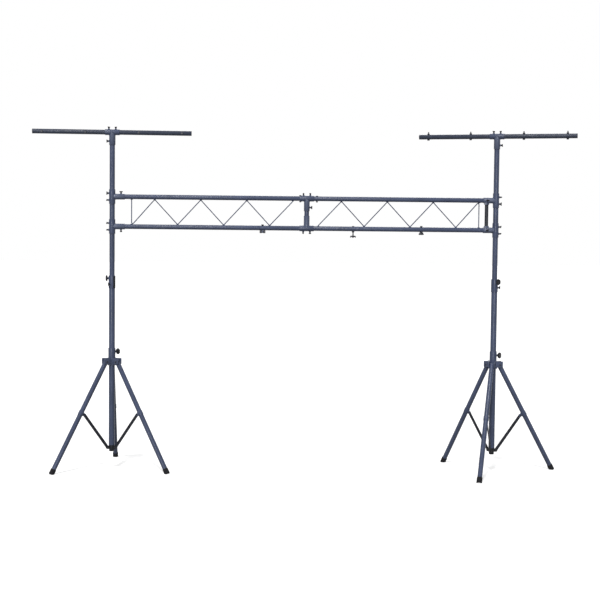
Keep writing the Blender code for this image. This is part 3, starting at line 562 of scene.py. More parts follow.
def enamel(name, colour, worn, roughness, specular, wear):
    """Satin enamel with orange peel, cloudy tone, thin scratches and rubbed edges."""
    material, tree, shader = new_material(name, colour, roughness, 0.0, specular)
    cloudy = ramp(tree, noise(tree, 7, 5), (0.35, 0), (0.70, 1))
    base = mixed(tree, cloudy, tuple(0.84 * c for c in colour), tuple(1.14 * c for c in colour))
    scratches = ramp(tree, noise(tree, 160, 3, (1, 1, 0.06)), (0.62, 0), (0.70, wear))
    base = mixed(tree, scratches, base, worn)
    geometry = tree.nodes.new("ShaderNodeNewGeometry")
    edges = ramp(tree, geometry.outputs["Pointiness"], (0.52, 0), (0.60, wear))
    base = mixed(tree, edges, base, worn)
    levels = (roughness - 0.06, roughness + 0.08)
    surface(tree, shader, base, noise(tree, 35, 4), levels, noise(tree, 650, 2), 0.25, 0.0002)
    return material


def moulded(name, colour, roughness, grain):
    """Moulded plastic or rubber with a fine grain and dusty highs."""
    material, tree, shader = new_material(name, colour, roughness, 0.0, 0.15)
    dust = ramp(tree, noise(tree, 40, 6), (0.45, 0), (0.8, 0.5))
    base = mixed(tree, dust, colour, tuple(1.9 * c + 0.004 for c in colour))
    levels = (roughness - 0.08, roughness + 0.1)
    surface(tree, shader, base, noise(tree, 90, 3), levels, noise(tree, grain, 2), 0.4, 0.0002)
    return material


def plated(name, colour, roughness):
    """Plated metal with drawing lines along Z and dull spots."""
    material, tree, shader = new_material(name, colour, roughness, 0.85)
    spots = ramp(tree, noise(tree, 55, 6), (0.4, 0), (0.8, 1))
    base = mixed(tree, spots, colour, tuple(0.72 * c for c in colour))
    drawn = (1, 1, 0.05)
    lines, grain = noise(tree, 220, 3, drawn), noise(tree, 500, 2, drawn)
    surface(tree, shader, base, lines, (roughness - 0.1, roughness + 0.12), grain, 0.2, 0.0001)
    return material


FINISHES = {
    "slate_paint": enamel("slate_enamel", SLATE, SLATE_WORN, 0.27, 0.16, 0.5),
    # Darker copy of the slate enamel: painted shade for the T-bars
    "shaded_slate_paint": enamel("shaded_slate_enamel", SHADED_SLATE, SLATE_WORN, 0.3, 0.14, 0.35),
    "black_steel": enamel("black_enamel", BLACK_ENAMEL, BLACK_ENAMEL_WORN, 0.36, 0.14, 0.5),
    "plated": plated("blackened_steel", BLACKENED_STEEL, 0.42),
    "black_plastic": moulded("black_nylon", BLACK_NYLON, 0.48, 900),
    "black_rubber": moulded("black_rubber", BLACK_RUBBER, 0.72, 500),
}


def added(name, data):
    thing = bpy.data.objects.new(name, data)
    bpy.context.scene.collection.objects.link(thing)
    return thing


def show(name, shape, place, body, finish="slate_paint", nodes=()):
    """One piece in its place on its body; nodes are the solids that it stands for."""
    points, faces = placed(shape, place)
    mesh = bpy.data.meshes.new(name)
    mesh.from_pydata(points, [], faces)
    work = bmesh.new()
    work.from_mesh(mesh)
    bmesh.ops.recalc_face_normals(work, faces=work.faces)
    work.to_mesh(mesh)
    work.free()
    mesh.shade_smooth()
    mesh.set_sharp_from_angle(angle=SMOOTH_ANGLE)
    mesh.materials.append(FINISHES[finish])
    piece = added(name, mesh)
    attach(piece, body)
    if nodes:
        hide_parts(*nodes)


# Fasteners


def nut_on(sleeve, wall, place, thread_radius=THREAD_RADIUS):
    """Nut welded on a sleeve, given by its outer radius; Z points outwards from the tube's axis."""
    reach = NUT_RADIUS + thread_radius - THREAD_RADIUS
    nut = hexagon(reach, sleeve - wall / 2, sleeve + NUT_HEIGHT)
    return placed(together(nut, round_bead(reach * 0.98, sleeve + HAIR, NUT_WELD)), place)


def thumb_screw(sleeve):
    """Thumb screw's moulded head: a waisted paddle with grip ribs on a barrel."""
    shoulder = sleeve + NUT_HEIGHT + SIDE_PLAY
    top = sleeve + SCREW_PROUD
    base = top - PADDLE_HEIGHT
    half = PADDLE_WIDTH / 2
    waist = base + PADDLE_HEIGHT / 3
    dip = top - PADDLE_DIP
    outline = [(-BARREL_RADIUS, base), (BARREL_RADIUS, base), (half, waist), (half, top)]
    outline += [(half / 2, dip), (-half / 2, dip), (-half, top), (-half, waist)]
    thickness = PADDLE_THICKNESS - 2 * PADDLE_RIB_PROUD
    paddle = plate(softened(outline, PADDLE_CORNER, 5), thickness, PADDLE_EDGE)
    barrel = [(0.0045, shoulder), (BARREL_RADIUS, shoulder + LIP), (BARREL_RADIUS, base + 0.004)]
    shapes = [paddle, lathe(barrel, sides=SMALL_SIDES)]
    rib = (PADDLE_RIB_WIDTH, PADDLE_THICKNESS, PADDLE_HEIGHT * 0.45)
    for step in range(-2, 3):
        shapes.append(block(rib, (step * PADDLE_RIB_PITCH, 0, base + PADDLE_HEIGHT * 0.55), 0.0005))
    return together(*shapes)


def screw_shank(sleeve, radius=THREAD_RADIUS):
    """Threaded shank that shows between the nut and the head."""
    return thread(radius, sleeve + NUT_HEIGHT / 2, sleeve + NUT_HEIGHT + 0.002)


def star_knob(sleeve, proud, thickness):
    """Lobed knob with a flared neck, rounded rim and a dish in its face."""
    shoulder = sleeve + NUT_HEIGHT + SIDE_PLAY
    face = sleeve + proud
    back = face - thickness
    flare = (shoulder + back) / 2

    def lobed(radius, share=1.0):
        return lambda a: radius - share * STAR_LOBE_DEPTH * (1 - math.cos(STAR_LOBES * a)) / 2

    rows = [ring(STUD_RADIUS, shoulder), ring(STAR_NECK - LIP, shoulder)]
    rows += [ring(STAR_NECK, shoulder + 0.0008), ring(STAR_NECK, flare)]
    for step in range(1, 7):
        part = step / 7
        radius = STAR_NECK + (STAR_RADIUS - STAR_EDGE - STAR_NECK) * part**1.4
        rows.append(ring(lobed(radius, part), back * part + flare * (1 - part)))
    for middle, first in ((back + STAR_EDGE, -90), (face - STAR_EDGE, 0)):
        for angle in (math.radians(first + lean) for lean in (0, 30, 60, 90)):
            reach = STAR_RADIUS - STAR_EDGE * (1 - math.cos(angle))
            rows.append(ring(lobed(reach), middle + STAR_EDGE * math.sin(angle)))
    rows += [ring(radius, face - depth) for radius, depth in STAR_DISH]
    return loft(rows)


def show_star(name, sleeve, knob, place, body):
    """A star knob, the domed cap in its dish and the stud behind it."""
    show(f"{name}_star", star_knob(sleeve, **knob), place, body, "black_plastic", [body])
    face = sleeve + knob["proud"]
    cap = lathe([(radius, face - depth) for radius, depth in STAR_CAP])
    show(f"{name}_star_cap", cap, place, body, "plated")
    show(f"{name}_stud", screw_shank(sleeve, STUD_RADIUS), place, body, "plated")


def bolt(low, high, head_at, nut_at=None, head=BOLT_HEAD_HEIGHT, nut=BOLT_HEAD_HEIGHT):
    """Hexagon head with its washer, upwards from head_at, and a nut downwards from nut_at."""
    rim = BOLT_HEAD_RADIUS * 0.98

    def washer(height):
        return lathe([(rim, height), (rim, height + WASHER_THICKNESS)], LIP / 2)

    shapes = [washer(head_at), thread(BOLT_RADIUS, low, high)]
    shapes.append(hexagon(BOLT_HEAD_RADIUS, head_at + WASHER_THICKNESS, head_at + head))
    if nut_at is not None:
        shapes.append(washer(nut_at - WASHER_THICKNESS))
        shapes.append(hexagon(BOLT_HEAD_RADIUS, nut_at - nut, nut_at - WASHER_THICKNESS))
    return together(*shapes)


# T-connectors


def sleeve_on(tube_radius):
    return tube_radius + GAP + SLEEVE_WALL


def tee_screws(run_tube, stem_tube, stem_side, turns):
    """Sleeve and placement of each screw: two on the run and one on the stem."""
    half = RUN_SCREW_SPREAD / 2
    run = sleeve_on(run_tube)
    return [
        (run, aimed((0, 0, -half), -X_AXIS, turns[0])),
        (run, aimed((0, 0, half), -X_AXIS, turns[1])),
        (sleeve_on(stem_tube), aimed((STEM_SCREW_PLACE, 0, 0), stem_side, turns[2])),
    ]


def tee_body(run_tube, stem_tube, screws):
    """Run sleeve along Z and stem sleeve along +X, with their weld and the welded nuts."""
    run_outer, stem_outer = sleeve_on(run_tube), sleeve_on(stem_tube)
    stem_inner = stem_tube + GAP
    run = tube(run_outer, SLEEVE_WALL, -RUN_LENGTH / 2, RUN_LENGTH / 2, EDGE)

    def mouth(radius, sink):
        """Ring of the stem's end, cut to fit round the run."""
        row = ring(radius, 0)
        for point in row:
            point.z = math.sqrt(max(run_outer**2 - point.y**2, 0)) - sink
        return row

    end = STEM_LENGTH
    profile = [(stem_outer, end - EDGE), (stem_outer - EDGE / 3, end - EDGE / 3)]
    profile += [(stem_outer - EDGE, end), (stem_inner + LIP / 2, end)]
    profile += [(stem_inner, end - 0.0005), (stem_inner, run_outer + STEM_SEAT)]
    rows = [ring(radius, height) for radius, height in profile]
    stem = loft([mouth(stem_outer, STEM_SINK), *rows, mouth(stem_inner, STEM_SINK)], closed=True)
    seam = mouth(stem_outer, -2 * HAIR)
    dense = []
    for point, after in zip(seam, seam[1:] + seam[:1]):
        dense += [point, point.lerp(after, 0.5)]
    branch = placed(together(stem, bead(dense, TEE_WELD, closed=True)), aimed((0, 0, 0), X_AXIS))
    return together(run, branch, *[nut_on(sleeve, SLEEVE_WALL, place) for sleeve, place in screws])


def show_tee(name, run_tube, place, stem_side, turns):
    """A truss connector with its three thumb screws; their turns are in degrees."""
    screws = tee_screws(run_tube, CHORD_RADIUS, stem_side, turns)
    body = tee_body(run_tube, CHORD_RADIUS, screws)
    show(f"{name}_body", body, place, "truss", nodes=[name])
    heads = together(*[placed(thumb_screw(sleeve), spot) for sleeve, spot in screws])
    show(f"{name}_screw_heads", heads, place, "truss", "black_plastic")
    shanks = together(*[placed(screw_shank(sleeve), spot) for sleeve, spot in screws])
    show(f"{name}_screw_shanks", shanks, place, "truss", "plated")


# Stands


LEG_RUN = FOOT_RADIUS_ON_FLOOR - LEG_PIVOT_RADIUS
LEG_LEAN = math.atan2(LEG_RUN, LEG_PIVOT_HEIGHT)
LEG_LENGTH = math.hypot(LEG_RUN, LEG_PIVOT_HEIGHT)
CLIP_REACH = LEG_RADIUS + CLIP_WALL + BRACE_WIDTH / 2 + SIDE_PLAY
SOLE_CLIMB = (LEG_RADIUS + GAP + FOOT_WALL) * math.tan(LEG_LEAN)
BRACE_FOOT = Vector((LOWER_RADIUS + BRACE_WIDTH / 2, LOWER_TUBE_BOTTOM - BRACE_FOOT_DROP))
LEG_PIVOT = Vector((LEG_PIVOT_RADIUS, LEG_PIVOT_HEIGHT))
DOWN_LEG = Vector((math.sin(LEG_LEAN), -math.cos(LEG_LEAN)))
BRACE_TOP = LEG_PIVOT + BRACE_ON_LEG * DOWN_LEG + CLIP_REACH * Vector((DOWN_LEG.y, -DOWN_LEG.x))


def thrice(shape):
    return together(*[placed(shape, spun(120 * turn)) for turn in range(3)])


def leg_hub(knob_place):
    """Sliding sleeve with three welded forks."""
    sleeve = tube(HUB_RADIUS, HUB_SLEEVE_WALL, -ARM_DROP - SIDE_PLAY, HUB_SLEEVE_RISE, ROUNDING)
    half_slot = LEG_RADIUS + SIDE_PLAY
    edge = half_slot + ARM_CHEEK
    arm_end = LEG_PIVOT_RADIUS + LEG_RADIUS + ARM_LIP
    slot_start = LEG_PIVOT_RADIUS - math.hypot(LEG_RADIUS, LEG_TOP) - 2 * SIDE_PLAY
    in_wall = LOWER_RADIUS + 2 * GAP
    start = math.sqrt(in_wall**2 - half_slot**2)
    outline = [(start, -ARM_DROP), (arm_end, -ARM_DROP), (arm_end, ARM_RISE), (start, ARM_RISE)]
    outline = softened(outline, ARM_CORNER, 4, closed=False)
    seam = math.sqrt(HUB_RADIUS**2 - edge**2)
    spread = math.degrees(math.asin(half_slot / in_wall))
    filler = arc((0, 0), in_wall, spread, -spread)
    filler += [Vector((slot_start, -half_slot)), Vector((slot_start, half_slot))]
    filler = plate(filler, ARM_RISE + ARM_DROP - ROUNDING, LIP, -(ARM_RISE - ARM_DROP) / 2)
    arm = [placed(filler, spun(90, "X")), plates(outline, ARM_CHEEK, EDGE, half_slot)]
    for y in (-edge, edge):
        arm.append(straight_bead((seam, y, -ARM_DROP), (seam, y, ARM_RISE), HUB_WELD))
    nut = nut_on(HUB_RADIUS, HUB_SLEEVE_WALL, knob_place, STUD_RADIUS)
    return together(sleeve, thrice(together(*arm)), nut)


def leg():
    """Leg tube with its clip band and ears."""
    bottom = SOLE_CLIMB + FOOT_SOLE - LEG_LENGTH
    pipe = tube(LEG_RADIUS, TUBE_WALL, bottom, LEG_TOP - ROUNDING)
    top = CLIP_LENGTH / 2 - BRACE_ON_LEG
    band = tube(LEG_RADIUS + CLIP_WALL, CLIP_WALL + SIDE_PLAY, top - CLIP_LENGTH, top, 0.0007)
    half = BRACE_WIDTH / 2
    outline = arc((-CLIP_REACH, -BRACE_ON_LEG), half, 90, 270)
    outline += [Vector((-LEG_RADIUS, -BRACE_ON_LEG + end * half)) for end in (-1, 1)]
    return together(pipe, band, plates(outline, CLIP_WALL, LIP, BRACE_HALF_SLOT))


def leg_cap():
    """Plastic stopper in the leg's top end."""
    spigot, rim = LEG_RADIUS - TUBE_WALL, LEG_RADIUS - HAIR
    low = LEG_TOP - ROUNDING
    profile = [(spigot, LEG_TOP - LEG_CAP_DEPTH), (spigot, low), (rim, low)]
    profile += [(rim - 2 * HAIR, LEG_TOP - HAIR / 2), (LEG_RADIUS - 0.003, LEG_TOP)]
    return lathe(profile + [(0.002, LEG_TOP)])


def foot():
    """Ribbed rubber foot, cut level at the floor and square at its tip."""
    outer = LEG_RADIUS + GAP + FOOT_WALL
    bore = LEG_RADIUS + GAP / 2
    slope = math.tan(LEG_LEAN)

    def sole(radius, rise):
        return [Vector((p.x, p.y, rise + max(-p.x * slope, -FOOT_TIP))) for p in ring(radius, 0)]

    rows = [sole(outer * share, rise) for share, rise in FOOT_DISH]
    rows += [sole(outer - depth, rise) for depth, rise in FOOT_SOLE_RIM]
    for rib in range(FOOT_RIBS):
        height = SOLE_CLIMB + FOOT_FIRST_RIB + rib * FOOT_RIB_PITCH
        rows += [ring(outer - depth, height + rise) for depth, rise in FOOT_RIB]
    rows += [ring(outer - depth, FOOT_LENGTH - drop) for depth, drop in FOOT_MOUTH]
    return loft(rows + [ring(bore, FOOT_LENGTH), ring(bore, SOLE_CLIMB + FOOT_SOLE - GAP)])


def brace():
    """Flat bar with round ends."""
    length = (BRACE_TOP - BRACE_FOOT).length
    half = BRACE_WIDTH / 2
    outline = arc((0, 0), half, 0, 180, 12) + arc((0, -length), half, 180, 360, 12)
    return plate(outline, BRACE_THICKNESS, EAR_EDGE)


def base_plug():
    """Stopper under the mast with three pairs of ears."""
    core = LOWER_RADIUS - BRACE_FOOT_CLEARANCE
    rim = LOWER_RADIUS - SLEEVE_WALL / 4
    spigot = UPPER_RADIUS - ROUNDING
    end = -PLUG_LENGTH
    profile = [(radius, end + rise) for radius, rise in PLUG_DISH] + [(core - SLEEVE_WALL, end)]
    profile += [(core, end + SLEEVE_WALL / 2), (core, -PLUG_FLANGE - ROUNDING)]
    profile += [(rim, -PLUG_FLANGE), (rim, -GAP), (spigot, -GAP), (spigot, PLUG_SPIGOT)]
    ear = BRACE_WIDTH / 2 + 2 * SIDE_PLAY
    outline = arc((BRACE_FOOT.x, -BRACE_FOOT_DROP), ear, -90, 90)
    outline += [Vector((core / 2, side * ear - BRACE_FOOT_DROP)) for side in (1, -1)]
    ears = thrice(plates(outline, EAR_THICKNESS, EAR_EDGE, BRACE_HALF_SLOT))
    return together(lathe(profile, 0.0007), ears)


def height_collar(knob_side, screw_side):
    """Stepped sleeve with two pressed beads, the knob's nut and the small screw's nut."""
    outer = COLLAR_RADIUS
    profile = [(LOWER_RADIUS + GAP, -COLLAR_GRIP), (outer, -COLLAR_GRIP)]
    for height in COLLAR_BEAD_PLACES:
        profile += [(outer - depth, height + rise) for depth, rise in COLLAR_BEAD]
    profile += [(outer, COLLAR_HEAD), (UPPER_RADIUS + GAP, COLLAR_HEAD)]
    profile += [(UPPER_RADIUS + GAP, GAP), (LOWER_RADIUS + GAP, GAP)]
    knob = nut_on(outer, COLLAR_HEAD_WALL, knob_side, STUD_RADIUS)
    screw = nut_on(outer, COLLAR_WALL, screw_side)
    return together(lathe(profile, 0.0005, True), knob, screw)


def collar_shade_strip():
    """Dark plastic strip laid on the collar's side away from the knob: painted shade on that side.
    """
    outer = COLLAR_RADIUS + HAIR / 2
    low, high = SHADE_STRIP_TURN - SHADE_STRIP_SPREAD / 2, SHADE_STRIP_TURN + SHADE_STRIP_SPREAD / 2
    outline = arc((0, 0), outer, low, high, 12) + arc((0, 0), outer * 0.93, high, low, 12)
    return loft([[Vector((p.x, p.y, height)) for p in outline] for height in SHADE_STRIP_ENDS])


def make_tripod(stand, mast):
    side = stand["side"]
    hub_place = mast @ shifted(z=LEG_PIVOT_HEIGHT) @ spun(stand["first_leg"])
    hub = f"{side}_leg_hub"
    knob_side = spun(stand["hub_knob"]) @ aimed((0, 0, HUB_KNOB_RISE), X_AXIS)
    show(f"{side}_hub_forks", leg_hub(knob_side), hub_place, hub, nodes=[hub])
    half_arm = LEG_RADIUS + SIDE_PLAY + ARM_CHEEK
    rivets = thrice(rivet(half_arm, aimed((LEG_PIVOT_RADIUS, 0, 0), Y_AXIS)))
    show(f"{side}_hub_rivets", rivets, hub_place, hub, "plated")
    knob = f"{side}_hub_knob"
    show_star(f"{side}_hub", HUB_RADIUS, HUB_KNOB, hub_place @ knob_side, knob)
    plug_place = mast @ shifted(z=LOWER_TUBE_BOTTOM) @ spun(stand["first_leg"])
    lower = f"{side}_lower_mast"
    plug = f"{side}_base_plug"
    show(f"{side}_base_stopper", base_plug(), plug_place, lower, "black_plastic", [plug])
    rivet_place = aimed((BRACE_FOOT.x, 0, -BRACE_FOOT_DROP), Y_AXIS)
    rivets = thrice(rivet(BRACE_HALF_SLOT + EAR_THICKNESS, rivet_place))
    show(f"{side}_base_rivets", rivets, plug_place, lower, "plated")
    reach = BRACE_TOP - BRACE_FOOT
    brace_lean = math.degrees(math.atan2(reach.x, reach.y))
    lean = math.degrees(LEG_LEAN)
    clip_place = aimed((-CLIP_REACH, 0, -BRACE_ON_LEG), Y_AXIS)
    clip_rivet = rivet(BRACE_HALF_SLOT + CLIP_WALL, clip_place)
    for number in (1, 2, 3):
        body, rubber, bar = (f"{side}_{piece}_{number}" for piece in ("leg", "foot", "brace"))
        turn = spun(120 * (number - 1))
        place = hub_place @ turn @ shifted(LEG_PIVOT_RADIUS) @ spun(-lean, "Y")
        show(f"{body}_tube", leg(), place, body, nodes=[body])
        show(f"{body}_cap", leg_cap(), place, body, "black_plastic")
        show(f"{body}_clip_rivet", clip_rivet, place, body, "plated")
        sole_place = place @ shifted(z=-LEG_LENGTH)
        show(f"{rubber}_rubber", foot(), sole_place, body, "black_rubber", [rubber])
        bar_place = place @ shifted(-CLIP_REACH, 0, -BRACE_ON_LEG) @ spun(lean + brace_lean, "Y")
        show(f"{bar}_bar", brace(), bar_place, bar, "black_steel", [bar])


def make_mast(stand, mast):
    side = stand["side"]
    lower = f"{side}_lower_mast"
    wall = LOWER_RADIUS - UPPER_RADIUS - GAP
    shape = tube(LOWER_RADIUS, wall, LOWER_TUBE_BOTTOM, LOWER_TUBE_TOP)
    show(f"{side}_lower_mast_tube", shape, mast, lower, nodes=[f"{side}_lower_tube"])
    top = T_BAR_HEIGHT - sleeve_on(T_BAR_RADIUS) - STEM_SEAT - GAP
    shape = tube(UPPER_RADIUS, TUBE_WALL, LOWER_TUBE_TOP - MAST_OVERLAP, top)
    upper = f"{side}_upper_mast"
    show(f"{side}_upper_mast_tube", shape, mast, upper, nodes=[f"{side}_upper_tube"])
    place = mast @ shifted(z=LOWER_TUBE_TOP) @ spun(stand["height_knob"])
    knob_side = aimed((0, 0, COLLAR_KNOB_RISE), X_AXIS)
    screw_side = spun(COLLAR_SCREW_TURN) @ aimed((0, 0, -COLLAR_SCREW_DROP), X_AXIS)
    sleeve = height_collar(knob_side, screw_side)
    show(f"{side}_collar_sleeve", sleeve, place, lower, nodes=[f"{side}_height_collar"])
    # Dark strip on the collar's side, painted shade
    show(f"{side}_collar_shade_strip", collar_shade_strip(), place, lower, "black_plastic")
    head, shank = thumb_screw(COLLAR_RADIUS), screw_shank(COLLAR_RADIUS)
    show(f"{side}_collar_screw", head, place @ screw_side, lower, "black_plastic")
    show(f"{side}_collar_screw_shank", shank, place @ screw_side, lower, "plated")
    knob = f"{side}_height_knob"
    show_star(f"{side}_collar", COLLAR_RADIUS, HEIGHT_KNOB, place @ knob_side, knob)


def t_bar_cap(turn):
    """Domed plastic cap in the T-bar's end at +Z, or at -Z after a turn of 180."""
    end = T_BAR_LENGTH / 2
    lip = end - T_BAR_CAP
    spigot = T_BAR_RADIUS - TUBE_WALL
    outer = T_BAR_RADIUS
    profile = [(spigot, end - T_BAR_CAP_DEPTH), (spigot, lip), (outer + HAIR, lip)]
    profile += [(outer - HAIR / 2, lip + T_BAR_CAP / 2), (outer - 0.0012, end - T_BAR_CAP * 0.15)]
    profile += [(outer - 0.004, end), (0.001, end)]
    return placed(lathe(profile), spun(turn, "X"))


def make_t_bar(stand, mast):
    side = stand["side"]
    tee_place = mast @ shifted(z=T_BAR_HEIGHT) @ spun(stand["bar_yaw"]) @ spun(90, "Y")
    tubes = (T_BAR_RADIUS, UPPER_RADIUS)
    screws = tee_screws(*tubes, Z_AXIS * stand["swivel"], T_BAR_SCREW_TURNS)
    tee = f"{side}_t_bar_tee"
    show(f"{side}_bar_connector", tee_body(*tubes, screws), tee_place, tee, nodes=[tee])
    for name, (sleeve, spot) in zip(("bar_screw_1", "bar_screw_2", "swivel_screw"), screws):
        body = f"{side}_{name}"
        place = tee_place @ spot
        show(f"{body}_head", thumb_screw(sleeve), place, body, "black_plastic", [body])
        show(f"{body}_shank", screw_shank(sleeve), place, body, "plated")
    bar = f"{side}_t_bar"
    bar_place = tee_place @ spun(stand["bar_roll"])
    half = T_BAR_LENGTH / 2 - T_BAR_CAP
    shape = tube(T_BAR_RADIUS, TUBE_WALL, -half, half)
    # The T-bar tube takes the darker slate copy, painted shade
    show(f"{bar}_tube", shape, bar_place, bar, "shaded_slate_paint", [bar])
    show(f"{bar}_caps", together(t_bar_cap(0), t_bar_cap(180)), bar_place, bar, "black_plastic")
    stub_end = T_BAR_RADIUS + BOLT_HEAD_HEIGHT + T_BAR_BOLT_STUB
    seat = T_BAR_RADIUS - BOLT_SINK
    one = bolt(-stub_end, seat, seat, -seat)
    bolts = [placed(one, aimed((0, 0, reach), -X_AXIS)) for reach in T_BAR_BOLT_PLACES]
    show(f"{bar}_bolts", together(*bolts), bar_place, bar, "plated")


# Truss


def swept(path, radius):
    """Round rod along an (x, z) path, mitred at each point."""
    rows = []
    for number, point in enumerate(path):
        before = path[max(number - 1, 0)]
        after = path[min(number + 1, len(path) - 1)]
        arriving = (point - before).normalized() if number else (after - point).normalized()
        leaving = (after - point).normalized() if after != point else arriving
        along = (arriving + leaving).normalized()
        across = Vector((-along.y, along.x)) / along.dot(leaving)
        row = []
        for step in range(ROD_SIDES):
            angle = math.tau * (step + 0.5) / ROD_SIDES
            flat = point + across * radius * math.cos(angle)
            row.append(Vector((flat.x, radius * math.sin(angle), flat.y)))
        rows.append(row)
    return loft(rows)


def web():
    """Zigzag rod and upright; also the places where it is welded to the chords."""
    first = RUN_LENGTH / 2 + WEB_MARGIN
    last = MAST_SPACING / 2 - STEM_LENGTH - WEB_MARGIN
    places = [first + (last - first) * bay / WEB_BAYS for bay in range(WEB_BAYS + 1)]
    crest = CHORD_SPACING / 2 - CHORD_RADIUS - GAP - WEB_ROD_RADIUS
    slant = math.atan2(places[1] - places[0], 2 * crest)
    corner = crest + WEB_BEND_RADIUS * (1 / math.sin(slant) - 1)
    last_corner = crest + WEB_BEND_RADIUS * (1 / math.tan(slant / 2) - 1)
    points = [Vector((place, corner * (number % 2 * 2 - 1))) for number, place in enumerate(places)]
    points[0].y = -crest
    points[-1].y = last_corner
    points.append(Vector((places[-1], -crest - WEB_ROD_RADIUS)))
    path = [points[0]]
    for before, bend, after in zip(points, points[1:], points[2:]):
        back = (before - bend).normalized()
        ahead = (after - bend).normalized()
        half = back.angle(ahead) / 2
        centre = bend + (back + ahead).normalized() * WEB_BEND_RADIUS / math.sin(half)
        start = bend + back * WEB_BEND_RADIUS / math.tan(half) - centre
        end = bend + ahead * WEB_BEND_RADIUS / math.tan(half) - centre
        sweep = start.angle_signed(end)
        for step in range(WEB_BEND_STEPS + 1):
            path.append(centre + Matrix.Rotation(-sweep * step / WEB_BEND_STEPS, 2) @ start)
    path.append(points[-1])
    level = CHORD_SPACING / 2 - CHORD_RADIUS
    welds = [(place, level * (number % 2 * 2 - 1)) for number, place in enumerate(places)]
    welds.append((places[-1], -level))
    return swept(path, WEB_ROD_RADIUS), welds


def web_beads(welds):
    """Short beads on both sides of the rod at each weld."""
    shapes = []
    half = WEB_WELD_LENGTH / 2
    for x, z in welds:
        level = z - math.copysign(WEB_WELD_SINK, z)
        for side in (-1, 1):
            y = side * (WEB_ROD_RADIUS + LIP)
            shapes.append(straight_bead((x - half, y, level), (x + half, y, level), WEB_WELD))
    return together(*shapes)


def end_post():
    """Round post between the saddles, with its weld at each end."""
    inner = CHORD_SPACING / 2 - CHORD_RADIUS - GAP - SLEEVE_WALL - SADDLE_HEIGHT
    reach = inner + SADDLE_HEIGHT / 2
    welds = [round_bead(END_BRACE_RADIUS + 0.0008, side * inner, POST_WELD) for side in (-1, 1)]
    return together(lathe([(END_BRACE_RADIUS, -reach), (END_BRACE_RADIUS, reach)]), *welds)


def saddle():
    """Block under a connector's stem, hollowed to fit it; origin on the stem's axis."""
    stem = sleeve_on(CHORD_RADIUS)
    half = SADDLE_DEPTH / 2
    low, high = -stem - SADDLE_HEIGHT, -stem + SADDLE_REACH
    bore = stem + GAP
    rim = math.degrees(math.asin(high / bore))
    outline = [Vector((-half, low)), Vector((half, low)), Vector((half, high))]
    outline += arc((0, 0), bore, rim, -180 - rim, 12) + [Vector((-half, high))]
    return placed(plate(outline, SADDLE_WIDTH, ROUNDING), spun(90))


def flared_nut(seat):
    """Wing nut that widens downwards from its seat, with a round hub."""
    foot = seat - WING_NUT_HEIGHT
    outline = [(WING_NUT_REACH - WING_NUT_CORNER, foot), (WING_NUT_REACH, foot + WING_NUT_CORNER)]
    outline = softened(mirrored(outline + [(WING_NUT_NECK, seat)]), 0.0025, 4)
    ends = zip(WING_NUT_HUB, (foot + ROUNDING, seat - ROUNDING))
    return together(plate(outline, WING_NUT_THICKNESS, 0.002), lathe(list(ends), ROUNDING))


def drooping_wings(foot):
    """Wing plate with lowered tips and a round hub, upwards from its foot."""
    width, depth, height = WING_PLATE_SIZE
    half = [(x * width, foot + z * height) for x, z in WING_SHAPE]
    ends = [(WING_HUB_RADIUS, foot + WING_HUB_RISE), (WING_HUB_RADIUS, foot + height)]
    outline = softened(mirrored(half), WING_CORNER, 4)
    return together(plate(outline, depth, WING_EDGE), lathe(ends, ROUNDING))


def make_truss(middle):
    """Connectors, chords, webs, middle post, end brace and lamp bolts."""
    half = MAST_SPACING / 2
    top, bottom = TOP_CHORD_HEIGHT, TOP_CHORD_HEIGHT - CHORD_SPACING
    up, down = shifted(z=top), shifted(z=bottom)
    joint = middle @ shifted(MIDDLE_OFFSET)
    halfway = shifted(z=(top + bottom) / 2)
    left, right = middle @ shifted(-half), middle @ shifted(half) @ spun(180)
    for tee in (
        ("left_top_mast_tee", UPPER_RADIUS, left @ up, Z_AXIS, (70, 5, 0)),
        ("left_bottom_mast_tee", UPPER_RADIUS, left @ down, -Z_AXIS, (80, 65, 20)),
        ("right_top_mast_tee", UPPER_RADIUS, right @ up, Y_AXIS, (10, 85, 0)),
        ("right_bottom_mast_tee", UPPER_RADIUS, right @ down, Y_AXIS, (75, 60, 30)),
        ("mid_top_tee", CHORD_RADIUS, joint @ up @ spun(90, "Y"), Z_AXIS, (75, 70, 15)),
        ("mid_bottom_tee", CHORD_RADIUS, joint @ down @ spun(-90, "Y"), Y_AXIS, (60, 80, 0)),
    ):
        show_tee(*tee)
    half_post = CHORD_SPACING / 2 - sleeve_on(CHORD_RADIUS) - STEM_SEAT - GAP
    post = tube(CHORD_RADIUS, TUBE_WALL, -half_post, half_post)
    show("middle_post", post, joint @ halfway, "truss", nodes=["mid_post"])
    reach = half - sleeve_on(UPPER_RADIUS) - STEM_SEAT - GAP
    for side, sign, turn in (("left", -1, 180), ("right", 1, 0)):
        end = reach - sign * MIDDLE_OFFSET
        chord = placed(tube(CHORD_RADIUS, TUBE_WALL, SIDE_PLAY, end), spun(90, "Y"))
        for level, height in (("top", up), ("bottom", down)):
            node = f"{side}_{level}_chord"
            place = joint @ height @ spun(turn)
            show(f"{node}_tube", chord, place, "truss", nodes=[node])
    rod, welds = web()
    for side, turn in (("right", 0), ("left", 180)):
        place = middle @ shifted(MIDDLE_OFFSET / 2) @ halfway @ spun(turn, "Y")
        show(f"{side}_web_rod", rod, place, "truss", nodes=[f"{side}_web"])
        show(f"{side}_web_welds", web_beads(welds), place, "truss")
    brace_place = middle @ shifted(half - STEM_LENGTH + END_BRACE_INSET) @ halfway
    show("end_post", end_post(), brace_place, "truss", "black_steel", ["end_brace"])
    raised = placed(saddle(), shifted(z=CHORD_SPACING / 2))
    saddles = together(raised, placed(raised, spun(180, "X")))
    show("end_saddles", saddles, brace_place, "truss")
    make_lamp_bolts(joint @ down)
    make_joint_bolts(joint @ up)


